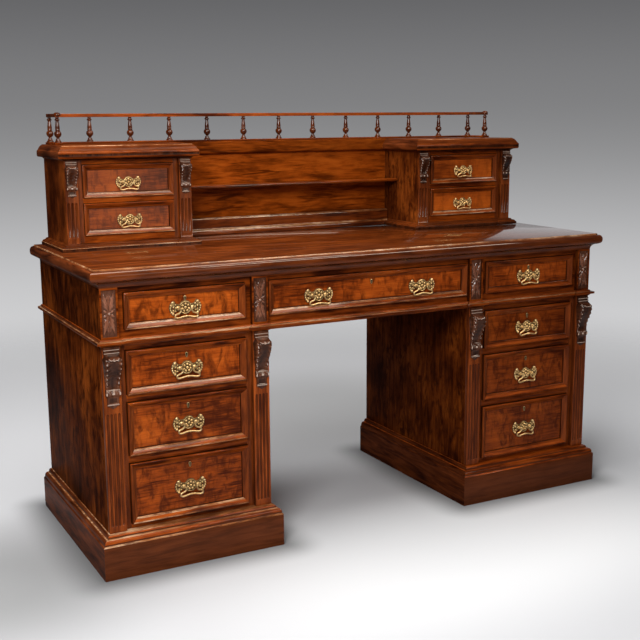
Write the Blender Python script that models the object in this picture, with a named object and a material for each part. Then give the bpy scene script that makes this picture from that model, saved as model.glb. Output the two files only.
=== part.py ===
"""A Victorian mahogany pedestal desk with a raised back.

Two plinths carry two pedestals of three drawers. A frieze of three drawers lies across them, and the
desktop on that. Two small cabinets stand at the back of the desktop, joined by a back board with a shelf,
and a gallery of turned spindles runs round the top. Metres, +Z up, the front towards -Y, with the origin
on the floor under the middle of the desk.
"""

import math

import bmesh
import bpy
from mathutils import Matrix, Vector

# Clearances
SEAT_GAP = 0.0003          # between two pieces that rest on or against each other
DRAWER_SIDE_GAP = 0.0008   # on each side of a drawer
DRAWER_TOP_GAP = 0.0015
DRAWER_BACK_GAP = 0.010    # behind a drawer that is pushed home
PIN_GAP = 0.0003           # round a bail's pin in its post

# The desk as a whole
DEPTH = 0.615
KNEEHOLE_W = 0.643
BACK_BOARD_T = 0.012       # thickness of the board that closes a case at the back

# Plinths
PLINTH_BOARD_H = 0.088
PLINTH_MOULD_H = 0.0245
PLINTH_SET = 0.024         # the pedestal stands this far behind the plinth's face

# Pilasters of the pedestals, and the carved blocks above them
PILASTER_W = 0.046
PILASTER_T = 0.013
PILASTER_SET = 0.003       # behind the edge of the plinth's moulding
FLUTES = 4
FLUTE_R = 0.0036
FLUTE_PITCH = 0.0098
FLUTE_FOOT = 0.016         # plain wood below and above the flutes
FLUTE_HEAD = 0.012

# Corbels of the pedestals, rounded across: shares of the width and of the projection where the nose ends
# and where the sides start
CORBEL_H = 0.157
CORBEL_W = 0.045
CORBEL_OUT = 0.0265
CORBEL_NOSE = 0.62
CORBEL_SIDE = 0.78

# Pedestals, with their drawers
PEDESTAL_DRAWER_W = 0.325
PEDESTAL_STILE = 0.061     # the solid beside a drawer: stile, side board and guide
BOTTOM_DRAWER_H = 0.1594
MIDDLE_DRAWER_H = 0.1377
TOP_DRAWER_H = 0.112
PEDESTAL_FOOT_RAIL = 0.0119
PEDESTAL_RAIL = 0.019
PEDESTAL_HEAD_RAIL = 0.0155

# Frieze, with its three drawers
FRIEZE_MOULD_H = 0.018
FRIEZE_MOULD_OUT = 0.0135
FRIEZE_MOULD_BREAK = 0.005  # the moulding stands back this much between the blocks
FRIEZE_FOOT_RAIL = 0.0177
FRIEZE_DRAWER_H = 0.0923
FRIEZE_HEAD_RAIL = 0.0142
CENTRE_DRAWER_MARGIN = 0.0045  # between the middle drawer's opening and the blocks beside it
BLOCK_FIELD_EDGE = 0.005   # the rim round a block's sunk field
BLOCK_FIELD_DEEP = 0.0025
ROSETTE_R = 0.013
ROSETTE_OUT = 0.005        # from the bottom of the field

# Drawers of the pedestals and the frieze
LOWER_MOULD_W = 0.017      # the raised moulding round a drawer's front
LOWER_MOULD_OUT = 0.010
LOWER_PANEL_SINK = 0.003   # the panel lies this far behind the face of the case
DRAWER_FRONT_T = 0.022
DRAWER_SIDE_T = 0.010
DRAWER_BOTTOM_T = 0.006
DRAWER_BOTTOM_UP = 0.007   # the bottom is let into the sides above their lower edges
DRAWER_SIDE_DROP = 0.006   # the sides stop below the top of the front
DRAWER_SIDE_SET = 0.0004
DRAWER_LAP = 0.008         # the slope from the front's top edge down to the sides, within the front

# Desktop
TOP_T = 0.0477
TOP_FRONT_OUT = 0.024
TOP_SIDE_OUT = 0.0275

# Cabinets, with their drawers
CABINET_DEPTH = 0.218
CABINET_SET = 0.027        # inside the frieze's ends
CABINET_DRAWER_W = 0.259
CABINET_STILE = 0.0497
CABINET_BASE_H = 0.0195
CABINET_BASE_OUT = 0.019
CABINET_BASE_BREAK = 0.005
CABINET_FOOT_RAIL = 0.0192
CABINET_LOWER_H = 0.087
CABINET_RAIL = 0.0137
CABINET_UPPER_H = 0.0895
CABINET_HEAD_RAIL = 0.0105
CABINET_PILASTER_W = 0.036
CABINET_PILASTER_T = 0.010
CABINET_FLUTES = 3
CABINET_FLUTE_PITCH = 0.0105
CABINET_CORBEL_H = 0.100
CABINET_CORBEL_W = 0.034
CABINET_CORBEL_OUT = 0.018
UPPER_MOULD_W = 0.015
UPPER_MOULD_OUT = 0.007
UPPER_PANEL_SINK = 0.0035

# Cornices
CORNICE_H = 0.0394
CORNICE_OUT = 0.0195

# Between the cabinets
BACK_PANEL_T = 0.015
TOP_RAIL_T = 0.015         # the rail stands this far in front of the panel
TOP_RAIL_DROP = 0.038
SHELF_DEPTH = 0.079
SHELF_T = 0.010
SHELF_UP = 0.1458          # underside above the desktop
LEDGE_FOOT_OUT = 0.0268    # the lower step of the ledge, in front of the panel
LEDGE_FOOT_H = 0.0185
LEDGE_OUT = 0.018
LEDGE_H = 0.053

# Gallery
BACK_SPINDLES = 13
GALLERY_SIDE_SET = 0.0183  # the end spindles' axis, inside the cabinets' outer sides
GALLERY_BACK_SET = 0.012
GALLERY_RETURN = 0.087     # from the corner spindle to the one in front of it
FIRST_SPINDLE_GAP = 0.1146  # the gap at the left corner, which is shorter than the even ones after it
LAST_SPINDLE_SET = 0.0075  # the last spindle of the row stands short of the right corner
GALLERY_STRIP_W = 0.022
GALLERY_STRIP_T = 0.0055
SPINDLE_H = 0.0689
SPINDLE_R = 0.010
RAIL_W = 0.014
RAIL_T = 0.0095
BALL_R = 0.010
BALL_H = 0.013

# Brass handles: a pierced plate with two posts, and a bail that swings from them
PLATE_W = 0.087
PLATE_H = 0.038
SMALL_PLATE_W = 0.073
SMALL_PLATE_H = 0.033
PLATE_T = 0.0025
POST_SPACING = 0.039
SMALL_POST_SPACING = 0.034
POST_R = 0.0033
POST_NECK_R = 0.0024
POST_REACH = 0.0072        # from the plate's face to the bail's axis
PIN_R = 0.00115
WIRE_R = 0.0019
KNOP_R = 0.0031
BAIL_OUT = 0.0115          # the bail swells this far outside its posts
BAIL_DROP = 0.0245
SMALL_BAIL_OUT = 0.009
SMALL_BAIL_DROP = 0.0205
HANDLE_BELOW_CENTRE = 0.005
CENTRE_HANDLE_SPACING = 0.330

# Facets
TURNED_SIDES = 8
POST_SIDES = 6
FLUTE_SIDES = 6

# Places that follow from the sizes above: from front to back
FRONT = -DEPTH / 2
BACK = DEPTH / 2
PEDESTAL_FRONT = FRONT + PLINTH_SET
PILASTER_FRONT = PEDESTAL_FRONT + PILASTER_SET
CASE_FRONT = PILASTER_FRONT + PILASTER_T
CABINET_PILASTER_FRONT = BACK - CABINET_DEPTH
CABINET_FRONT = CABINET_PILASTER_FRONT + CABINET_PILASTER_T
PANEL_FRONT = BACK - BACK_PANEL_T
GALLERY_Y = BACK - GALLERY_BACK_SET

# From the middle to the right
PEDESTAL_IN = KNEEHOLE_W / 2
PEDESTAL_BAY_W = PEDESTAL_DRAWER_W + 2 * DRAWER_SIDE_GAP
PEDESTAL_OUT = PEDESTAL_IN + PEDESTAL_BAY_W + 2 * PEDESTAL_STILE
PEDESTAL_X = (PEDESTAL_IN + PEDESTAL_OUT) / 2
CENTRE_DRAWER_W = KNEEHOLE_W - 2 * (CENTRE_DRAWER_MARGIN + DRAWER_SIDE_GAP)
CABINET_BAY_W = CABINET_DRAWER_W + 2 * DRAWER_SIDE_GAP
CABINET_OUT = PEDESTAL_OUT - CABINET_SET
CABINET_IN = CABINET_OUT - CABINET_BAY_W - 2 * CABINET_STILE
CABINET_X = (CABINET_IN + CABINET_OUT) / 2
GALLERY_X = CABINET_OUT - GALLERY_SIDE_SET

# From the floor up
PLINTH_TOP = PLINTH_BOARD_H + PLINTH_MOULD_H
PEDESTAL_Z = PLINTH_TOP + SEAT_GAP


def bay_heights(floor, foot_rail, rail, drawer_heights):
    """The floor and ceiling of each drawer's opening in one stack, from the lowest up."""
    heights = []
    z = floor + foot_rail
    for drawer_h in drawer_heights:
        ceiling = z + SEAT_GAP + drawer_h + DRAWER_TOP_GAP
        heights.append((z, ceiling))
        z = ceiling + rail
    return heights


PEDESTAL_BAYS = bay_heights(
    PEDESTAL_Z, PEDESTAL_FOOT_RAIL, PEDESTAL_RAIL, (BOTTOM_DRAWER_H, MIDDLE_DRAWER_H, TOP_DRAWER_H)
)
PEDESTAL_TOP = PEDESTAL_BAYS[-1][1] + PEDESTAL_HEAD_RAIL
FRIEZE_Z = PEDESTAL_TOP + SEAT_GAP
FRIEZE_CASE_Z = FRIEZE_Z + FRIEZE_MOULD_H
FRIEZE_BAY = bay_heights(FRIEZE_CASE_Z, FRIEZE_FOOT_RAIL, 0, (FRIEZE_DRAWER_H,))[0]
FRIEZE_TOP = FRIEZE_BAY[1] + FRIEZE_HEAD_RAIL
DESKTOP_Z = FRIEZE_TOP + SEAT_GAP
WRITING_Z = DESKTOP_Z + TOP_T
CABINET_Z = WRITING_Z + SEAT_GAP
CABINET_CASE_Z = CABINET_Z + CABINET_BASE_H
CABINET_BAYS = bay_heights(
    CABINET_CASE_Z, CABINET_FOOT_RAIL, CABINET_RAIL, (CABINET_LOWER_H, CABINET_UPPER_H)
)
CABINET_TOP = CABINET_BAYS[-1][1] + CABINET_HEAD_RAIL
CORNICE_Z = CABINET_TOP + SEAT_GAP
CORNICE_TOP = CORNICE_Z + CORNICE_H
STRIP_Z = CORNICE_TOP + SEAT_GAP
STRIP_TOP = STRIP_Z + GALLERY_STRIP_T
RAIL_Z = STRIP_TOP + SPINDLE_H + SEAT_GAP

SIDES = {"left": -1, "right": 1}


def finish_material(name, colour, roughness, metallic):
    finish = bpy.data.materials.new(name)
    finish.use_nodes = True
    shader = finish.node_tree.nodes["Principled BSDF"]
    shader.inputs["Base Color"].default_value = (*colour, 1)
    shader.inputs["Roughness"].default_value = roughness
    shader.inputs["Metallic"].default_value = metallic
    return finish


def new_object(name, mesh_builder, finish, smooth=False):
    """An object from a finished bmesh, with its faces pointing out."""
    bmesh.ops.remove_doubles(mesh_builder, verts=mesh_builder.verts, dist=1e-6)
    bmesh.ops.recalc_face_normals(mesh_builder, faces=mesh_builder.faces)
    mesh = bpy.data.meshes.new(name)
    mesh_builder.to_mesh(mesh)
    mesh_builder.free()
    mesh.materials.append(finish)
    if smooth:
        mesh.shade_smooth()
        mesh.set_sharp_from_angle(angle=math.radians(40))
    piece = bpy.data.objects.new(name, mesh)
    bpy.context.scene.collection.objects.link(piece)
    return piece


def add_skin(mesh_builder, rings):
    """A closed body through a row of outlines that have equally many points, capped at both ends."""
    rows = [[mesh_builder.verts.new(point) for point in ring] for ring in rings]
    for lower, upper in zip(rows, rows[1:]):
        for i in range(len(lower)):
            j = (i + 1) % len(lower)
            mesh_builder.faces.new((lower[i], lower[j], upper[j], upper[i]))
    mesh_builder.faces.new(rows[0])
    mesh_builder.faces.new(rows[-1])


def skinned(name, rings, finish, smooth=False):
    mesh_builder = bmesh.new()
    add_skin(mesh_builder, rings)
    return new_object(name, mesh_builder, finish, smooth)


def add_box(mesh_builder, low, high):
    outline = ((low[0], low[1]), (high[0], low[1]), (high[0], high[1]), (low[0], high[1]))
    add_skin(mesh_builder, [[(x, y, z) for x, y in outline] for z in (low[2], high[2])])


def boxes(name, corners, finish):
    """One object that holds a box for each pair of corners, as a cutter for several openings."""
    mesh_builder = bmesh.new()
    for low, high in corners:
        add_box(mesh_builder, low, high)
    return new_object(name, mesh_builder, finish)


def add_turned(mesh_builder, profile, sides, place):
    """A turned body from a profile of (radius, height), with its axis on Z moved by the matrix place."""
    start = [mesh_builder.verts.new(place @ Vector((radius, 0, height))) for radius, height in profile]
    edges = [mesh_builder.edges.new(pair) for pair in zip(start, start[1:])]
    axis = place.to_3x3().col[2]
    bmesh.ops.spin(
        mesh_builder, geom=start + edges, cent=place.translation, axis=axis, angle=2 * math.pi, steps=sides
    )


def combine(piece, tool, operation):
    """Cuts the tool out of the piece, or joins it to the piece, and takes the tool away."""
    step = piece.modifiers.new(operation, "BOOLEAN")
    step.operation = operation
    step.solver = "EXACT"
    step.object = tool
    graph = bpy.context.evaluated_depsgraph_get()
    mesh = bpy.data.meshes.new_from_object(piece.evaluated_get(graph))
    piece.modifiers.clear()
    piece.data = mesh
    bpy.data.objects.remove(tool)


def cut(piece, tool):
    combine(piece, tool, "DIFFERENCE")


def join(piece, tool):
    combine(piece, tool, "UNION")


def quarter(start, end, steps, along_first):
    """The points after start on a quarter ellipse to end, which leaves start along one coordinate."""
    points = []
    for i in range(1, steps + 1):
        turn = math.pi / 2 * i / steps
        a, b = math.sin(turn), 1 - math.cos(turn)
        if not along_first:
            a, b = b, a
        points.append((start[0] + (end[0] - start[0]) * a, start[1] + (end[1] - start[1]) * b))
    return points


def scaled(profile, out, height):
    """A moulding's profile, drawn as shares of its projection and height, at its real size."""
    return [(share * out, rise * height) for share, rise in profile]


# Moulding profiles as (share of the projection, share of the height), from the foot up. No two points
# lie at one height, so that each step keeps a slope at the flush back of its piece.
PLINTH_PROFILE = [
    (1.0, 0.0),
    (0.86, 0.10),
    (0.86, 0.20),
    *quarter((0.86, 0.20), (0.46, 0.62), 3, False),
    (0.34, 0.65),
    (0.34, 0.74),
    *quarter((0.34, 0.74), (0.0, 1.0), 2, False),
]
FRIEZE_PROFILE = [
    (0.20, 0.0),
    *quarter((0.20, 0.0), (0.92, 0.34), 2, False),
    (1.0, 0.37),
    (1.0, 0.68),
    (0.90, 0.71),
    *quarter((0.90, 0.71), (0.26, 0.97), 2, True),
]
TOP_PROFILE = [
    (0.0, 0.0),
    *quarter((0.0, 0.0), (0.53, 0.27), 3, False),
    (0.74, 0.33),
    *quarter((0.74, 0.33), (1.0, 0.57), 3, True),
    (1.0, 0.66),
    *quarter((1.0, 0.66), (0.60, 0.96), 3, False),
    (0.53, 1.0),
]
CORNICE_PROFILE = [
    (0.10, 0.0),
    *quarter((0.10, 0.0), (0.78, 0.13), 2, False),
    (0.93, 0.17),
    (1.0, 0.27),
    (1.0, 0.46),
    (0.94, 0.55),
    (0.86, 0.60),
    (0.58, 0.84),
    (0.25, 0.96),
    (0.20, 1.0),
]
BASE_PROFILE = [
    (1.0, 0.0),
    (1.0, 0.42),
    (0.86, 0.46),
    *quarter((0.86, 0.46), (0.40, 0.74), 2, False),
    *quarter((0.40, 0.74), (0.0, 0.97), 2, False),
]
# Across a drawer's moulding: (share of its width from the edge, share of its rise)
DRAWER_PROFILE = [
    (0.0, 0.60),
    (0.05, 0.92),
    (0.14, 1.0),
    (0.24, 0.95),
    (0.56, 0.54),
    (0.86, 0.16),
    (0.92, 0.13),
]
# Down a corbel: (share of its height, share of its projection, share of its width)
CORBEL_PROFILE = [
    (0.000, 0.20, 0.92),
    (0.100, 0.28, 0.90),
    (0.135, 0.68, 0.84),
    (0.163, 0.93, 0.94),
    (0.185, 1.00, 1.00),
    (0.260, 0.98, 0.98),
    (0.340, 0.86, 0.94),
    (0.430, 0.55, 0.88),
    (0.520, 0.28, 0.84),
    (0.690, 0.17, 0.80),
    (0.740, 0.36, 0.86),
    (0.785, 0.34, 0.86),
    (0.815, 0.16, 0.66),
    (0.930, 0.14, 0.66),
    (1.000, 0.06, 0.50),
]
# Out from a rosette's axis: (share of its radius, share of its projection)
ROSETTE_PROFILE = [(0.0, 1.0), (0.36, 0.45), (0.80, 0.60), (1.0, 0.0)]
# Up a spindle and up a ball: (share of the greatest radius, share of the height)
SPINDLE_PROFILE = [
    (0.95, 0.05),
    (0.45, 0.15),
    (0.97, 0.34),
    (0.90, 0.42),
    (0.60, 0.49),
    (0.42, 0.87),
    (0.68, 0.92),
    (0.50, 1.0),
]
BALL_PROFILE = [(0.0, 0.0), (0.70, 0.0), (1.0, 0.50), (0.60, 0.92), (0.0, 1.0)]
# Half of a handle plate's outline, clockwise from the top: (share of half width, share of half height)
PLATE_OUTLINE = [
    (0.0, 0.96),
    (0.20, 0.84),
    (0.36, 0.50),
    (0.55, 0.60),
    (0.70, 1.0),
    (0.87, 0.78),
    (0.99, 0.22),
    (0.97, -0.30),
    (0.84, -0.84),
    (0.72, -1.0),
    (0.58, -0.56),
    (0.38, -0.50),
    (0.16, -0.94),
    (0.0, -0.82),
]
# The piercing in each lobe of a plate, on the same shares: its place, half width and half height
PIERCING_X, PIERCING_W, PIERCING_H = 0.76, 0.075, 0.42
# Half of a bail, from the foot of its arm to the middle: (share of the half width, share of the drop)
BAIL_PATH = [(0.94, 0.14), (1.0, 0.50), (0.88, 0.86), (0.60, 1.0), (0.17, 0.86)]
KNOP_DOWN = 0.87  # share of the drop


def clear_scene():
    for item in list(bpy.data.objects):
        bpy.data.objects.remove(item)


def plinths(wood):
    for side, sign in SIDES.items():
        x0, x1 = PEDESTAL_IN - PLINTH_SET, PEDESTAL_OUT + PLINTH_SET
        levels = [(PLINTH_SET, 0.0), *scaled(PLINTH_PROFILE, PLINTH_SET, PLINTH_MOULD_H)]
        rings = []
        for i, (out, up) in enumerate(levels):
            z = up + (PLINTH_BOARD_H if i else 0)
            inset = PLINTH_SET - out
            rings.append([
                (sign * (x0 + inset), BACK, z),
                (sign * (x0 + inset), FRONT + inset, z),
                (sign * (x1 - inset), FRONT + inset, z),
                (sign * (x1 - inset), BACK, z),
            ])
        skinned(f"{side}_plinth", rings, wood)


def bay_box(x, width, front, heights):
    """The corners of one drawer's opening, from in front of the case to its back board."""
    low = (x - width / 2, front - DEPTH / 2, heights[0])
    high = (x + width / 2, BACK - BACK_BOARD_T, heights[1])
    return low, high


def pedestals(wood):
    for side, sign in SIDES.items():
        low = (sign * PEDESTAL_IN, CASE_FRONT, PEDESTAL_Z)
        high = (sign * PEDESTAL_OUT, BACK, PEDESTAL_TOP)
        case = boxes(f"{side}_pedestal", [(low, high)], wood)
        bays = [bay_box(sign * PEDESTAL_X, PEDESTAL_BAY_W, CASE_FRONT, bay) for bay in PEDESTAL_BAYS]
        cut(case, boxes("bays", bays, wood))


def corbel_rings(x, face, top, height, width, out, root):
    """Outlines down a scrolled corbel whose back is sunk by root into the board behind its face."""
    rings = []
    for down, forward, wide in CORBEL_PROFILE:
        half = wide * width / 2
        z = top - down * height
        nose, side, back = face - forward * out, face - CORBEL_SIDE * forward * out, face + root
        left = [(x - half, back, z), (x - half, side, z), (x - CORBEL_NOSE * half, nose, z)]
        right = [(x + CORBEL_NOSE * half, nose, z), (x + half, side, z), (x + half, back, z)]
        rings.append(left + right)
    return rings


def flute_tools(x, face, foot, head, count, pitch, wood):
    """Round-ended cutters for the flutes of one pilaster."""
    dome = [(0, FLUTE_R), *quarter((0, FLUTE_R), (FLUTE_R, 0), 2, True)]
    profile = [(radius, head - FLUTE_R + rise) for radius, rise in dome]
    profile += [(radius, foot + FLUTE_R - rise) for radius, rise in reversed(dome)]
    mesh_builder = bmesh.new()
    for i in range(count):
        offset = (i - (count - 1) / 2) * pitch
        place = Matrix.Translation((x + offset, face - FLUTE_R / 5, 0))
        add_turned(mesh_builder, profile, FLUTE_SIDES, place)
    return new_object("flutes", mesh_builder, wood)


def pilaster_x():
    """The middle of each lower pilaster and block, by name."""
    inner = PEDESTAL_IN + PILASTER_W / 2
    outer = PEDESTAL_OUT - PILASTER_W / 2
    return {"left_outer": -outer, "left_inner": -inner, "right_inner": inner, "right_outer": outer}


def pilasters(wood):
    corbel_top = PEDESTAL_TOP - SEAT_GAP
    for name, x in pilaster_x().items():
        low = (x - PILASTER_W / 2, PILASTER_FRONT, PEDESTAL_Z)
        high = (x + PILASTER_W / 2, CASE_FRONT - SEAT_GAP, PEDESTAL_TOP)
        pilaster = boxes(f"{name}_pilaster", [(low, high)], wood)
        rings = corbel_rings(x, PILASTER_FRONT, corbel_top, CORBEL_H, CORBEL_W, CORBEL_OUT, PILASTER_T / 2)
        join(pilaster, skinned("corbel", rings, wood))
        foot, head = PEDESTAL_Z + FLUTE_FOOT, corbel_top - CORBEL_H - FLUTE_HEAD
        cut(pilaster, flute_tools(x, PILASTER_FRONT, foot, head, FLUTES, FLUTE_PITCH, wood))


def frieze_outline(out, recess, z):
    """The frieze seen from above: its front breaks forward at the four blocks."""
    half = PILASTER_W / 2
    places = list(pilaster_x().values())
    face, between = PILASTER_FRONT - out, PILASTER_FRONT + recess - out
    points = [(-PEDESTAL_OUT - out, BACK, z)]
    for i, x in enumerate(places):
        left, right = x - half - out, x + half + out
        if i > 0:
            points.append((left, between, z))
        points += [(left, face, z), (right, face, z)]
        if i < len(places) - 1:
            points.append((right, between, z))
    points.append((PEDESTAL_OUT + out, BACK, z))
    return points


def rosettes(wood):
    """A round boss in the sunk field of each block, rooted in the wood behind it."""
    bottom = PILASTER_FRONT + BLOCK_FIELD_DEEP
    profile = scaled(ROSETTE_PROFILE, ROSETTE_R, ROSETTE_OUT)
    profile += [(ROSETTE_R, -BLOCK_FIELD_DEEP), (0, -BLOCK_FIELD_DEEP)]
    forward = Matrix.Rotation(math.pi / 2, 4, "X")
    mesh_builder = bmesh.new()
    for x in pilaster_x().values():
        middle = Matrix.Translation((x, bottom, (FRIEZE_CASE_Z + FRIEZE_TOP) / 2))
        add_turned(mesh_builder, profile, TURNED_SIDES, middle @ forward)
    return new_object("rosettes", mesh_builder, wood)


def frieze(wood):
    profile = scaled(FRIEZE_PROFILE, FRIEZE_MOULD_OUT, FRIEZE_MOULD_H)
    rings = [frieze_outline(out, FRIEZE_MOULD_BREAK, FRIEZE_Z + up) for out, up in profile]
    rings += [frieze_outline(0, PILASTER_T, z) for z in (FRIEZE_CASE_Z, FRIEZE_TOP)]
    case = skinned("frieze", rings, wood)
    bays = [bay_box(sign * PEDESTAL_X, PEDESTAL_BAY_W, CASE_FRONT, FRIEZE_BAY) for sign in SIDES.values()]
    bays.append(bay_box(0, CENTRE_DRAWER_W + 2 * DRAWER_SIDE_GAP, CASE_FRONT, FRIEZE_BAY))
    cut(case, boxes("bays", bays, wood))
    half = PILASTER_W / 2 - BLOCK_FIELD_EDGE
    fields = [
        (
            (x - half, PILASTER_FRONT - BLOCK_FIELD_EDGE, FRIEZE_CASE_Z + BLOCK_FIELD_EDGE),
            (x + half, PILASTER_FRONT + BLOCK_FIELD_DEEP, FRIEZE_TOP - BLOCK_FIELD_EDGE),
        )
        for x in pilaster_x().values()
    ]
    cut(case, boxes("fields", fields, wood))
    join(case, rosettes(wood))


def desktop(wood):
    rings = []
    for share, up in scaled(TOP_PROFILE, 1, TOP_T):
        x = PEDESTAL_OUT + share * TOP_SIDE_OUT
        front = PILASTER_FRONT - share * TOP_FRONT_OUT
        z = DESKTOP_Z + up
        rings.append([(-x, BACK, z), (-x, front, z), (x, front, z), (x, BACK, z)])
    skinned("desktop", rings, wood)


def cabinet_outline(sign, out, recess, stop, z):
    """A cabinet seen from above: on the inner side the moulding dies into what lies at stop."""
    face, between = CABINET_PILASTER_FRONT - out, CABINET_PILASTER_FRONT + recess - out
    inner, outer = CABINET_IN - out, CABINET_OUT + out
    points = [(CABINET_IN, BACK), (CABINET_IN, stop), (inner, stop), (inner, face)]
    if recess:
        left, right = CABINET_IN + CABINET_PILASTER_W + out, CABINET_OUT - CABINET_PILASTER_W - out
        points += [(left, face), (left, between), (right, between), (right, face)]
    points += [(outer, face), (outer, BACK)]
    return [(sign * x, y, z) for x, y in points]


def cabinets(wood):
    stop = PANEL_FRONT - LEDGE_FOOT_OUT - SEAT_GAP
    corbel_top = CABINET_TOP - SEAT_GAP
    for side, sign in SIDES.items():
        profile = scaled(BASE_PROFILE, CABINET_BASE_OUT, CABINET_BASE_H)
        rings = [cabinet_outline(sign, out, CABINET_BASE_BREAK, stop, CABINET_Z + up) for out, up in profile]
        for z in (CABINET_CASE_Z, CABINET_TOP):
            rings.append(cabinet_outline(sign, 0, CABINET_PILASTER_T, stop, z))
        case = skinned(f"{side}_cabinet", rings, wood)
        bays = [bay_box(sign * CABINET_X, CABINET_BAY_W, CABINET_FRONT, bay) for bay in CABINET_BAYS]
        cut(case, boxes("bays", bays, wood))
        for edge, inward in ((CABINET_IN, 1), (CABINET_OUT, -1)):
            x = sign * (edge + inward * CABINET_PILASTER_W / 2)
            corbel = corbel_rings(
                x, CABINET_PILASTER_FRONT, corbel_top, CABINET_CORBEL_H, CABINET_CORBEL_W, CABINET_CORBEL_OUT,
                CABINET_PILASTER_T,
            )
            join(case, skinned("corbel", corbel, wood))
            foot, head = CABINET_CASE_Z + FLUTE_FOOT, corbel_top - CABINET_CORBEL_H - FLUTE_HEAD
            tools = flute_tools(
                x, CABINET_PILASTER_FRONT, foot, head, CABINET_FLUTES, CABINET_FLUTE_PITCH, wood
            )
            cut(case, tools)


def cornices(wood):
    stop = PANEL_FRONT - TOP_RAIL_T - SEAT_GAP
    for side, sign in SIDES.items():
        profile = scaled(CORNICE_PROFILE, CORNICE_OUT, CORNICE_H)
        rings = [cabinet_outline(sign, out, 0, stop, CORNICE_Z + up) for out, up in profile]
        skinned(f"{side}_cornice", rings, wood)


def extruded_across(name, outline, half_length, finish):
    """A board or moulding between the cabinets, from its outline of (y, z)."""
    return skinned(name, [[(x, y, z) for y, z in outline] for x in (-half_length, half_length)], finish)


def raised_back(wood):
    half = CABINET_IN - SEAT_GAP
    rail_z, rail_front = CORNICE_TOP - TOP_RAIL_DROP, PANEL_FRONT - TOP_RAIL_T
    panel = [(BACK, CABINET_Z), (PANEL_FRONT, CABINET_Z), (PANEL_FRONT, rail_z)]
    panel += quarter((PANEL_FRONT, rail_z), (rail_front, rail_z + TOP_RAIL_T / 3), 2, True)
    panel += [(rail_front, CORNICE_TOP), (BACK, CORNICE_TOP)]
    extruded_across("back_board", panel, half, wood)
    seat = PANEL_FRONT - SEAT_GAP
    low, high = WRITING_Z + SHELF_UP, WRITING_Z + SHELF_UP + SHELF_T
    nose = PANEL_FRONT - SHELF_DEPTH
    shelf = [(seat, high), (seat, low), (nose + SHELF_T / 2, low)]
    shelf += quarter((nose + SHELF_T / 2, low), (nose, low + SHELF_T / 2), 2, True)
    shelf += quarter((nose, low + SHELF_T / 2), (nose + SHELF_T / 2, high), 2, False)
    extruded_across("shelf", shelf, half, wood)
    foot, step = PANEL_FRONT - LEDGE_FOOT_OUT, PANEL_FRONT - LEDGE_OUT
    crest = LEDGE_H - LEDGE_OUT / 3
    ledge = [(seat, CABINET_Z), (foot, CABINET_Z), (foot, CABINET_Z + LEDGE_FOOT_H / 2)]
    ledge += quarter((foot, CABINET_Z + LEDGE_FOOT_H / 2), (step, CABINET_Z + LEDGE_FOOT_H), 3, False)
    ledge += [(step, CABINET_Z + crest)]
    ledge += quarter((step, CABINET_Z + crest), (step + LEDGE_OUT / 3, CABINET_Z + LEDGE_H), 2, False)
    ledge += [(seat, CABINET_Z + LEDGE_H)]
    extruded_across("back_ledge", ledge, half, wood)


def gallery_outline(width, beyond, z):
    """The strip that runs along the back and returns forward at both ends, seen from above."""
    half = width / 2
    end = GALLERY_Y - GALLERY_RETURN - beyond
    outer, inner = GALLERY_X + half, GALLERY_X - half
    right = [(outer, GALLERY_Y + half), (outer, end), (inner, end), (inner, GALLERY_Y - half)]
    left = [(-x, y) for x, y in reversed(right)]
    return [(x, y, z) for x, y in right + left]


def spindle_places():
    first, last = -GALLERY_X + FIRST_SPINDLE_GAP, GALLERY_X - LAST_SPINDLE_SET
    pitch = (last - first) / (BACK_SPINDLES - 2)
    along_back = [(-GALLERY_X, GALLERY_Y)]
    along_back += [(first + i * pitch, GALLERY_Y) for i in range(BACK_SPINDLES - 1)]
    return along_back + [(sign * GALLERY_X, GALLERY_Y - GALLERY_RETURN) for sign in SIDES.values()]


def gallery(wood):
    outlines = [gallery_outline(GALLERY_STRIP_W, GALLERY_STRIP_W / 2, z) for z in (STRIP_Z, STRIP_TOP)]
    strip = skinned("gallery_spindles", outlines, wood)
    turned = scaled(SPINDLE_PROFILE, SPINDLE_R, SPINDLE_H)
    foot = turned[0][0]
    profile = [(0, -GALLERY_STRIP_T / 2), (foot, -GALLERY_STRIP_T / 2), *turned, (0, SPINDLE_H)]
    mesh_builder = bmesh.new()
    for x, y in spindle_places():
        add_turned(mesh_builder, profile, TURNED_SIDES, Matrix.Translation((x, y, STRIP_TOP)))
    join(strip, new_object("spindles", mesh_builder, wood, True))

    rail = skinned("gallery_rail", [gallery_outline(RAIL_W, 0, RAIL_Z + up) for up in (0, RAIL_T)], wood)
    ball = scaled(BALL_PROFILE, BALL_R, BALL_H)
    mesh_builder = bmesh.new()
    for sign in SIDES.values():
        place = Matrix.Translation((sign * GALLERY_X, GALLERY_Y - GALLERY_RETURN, RAIL_Z))
        add_turned(mesh_builder, ball, TURNED_SIDES, place)
    join(rail, new_object("balls", mesh_builder, wood, True))


def rectangle(width, bottom, top, inset, y):
    half = width / 2 - inset
    low, high = bottom + inset, top - inset
    return [(-half, y, low), (half, y, low), (half, y, high), (-half, y, high)]


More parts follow.
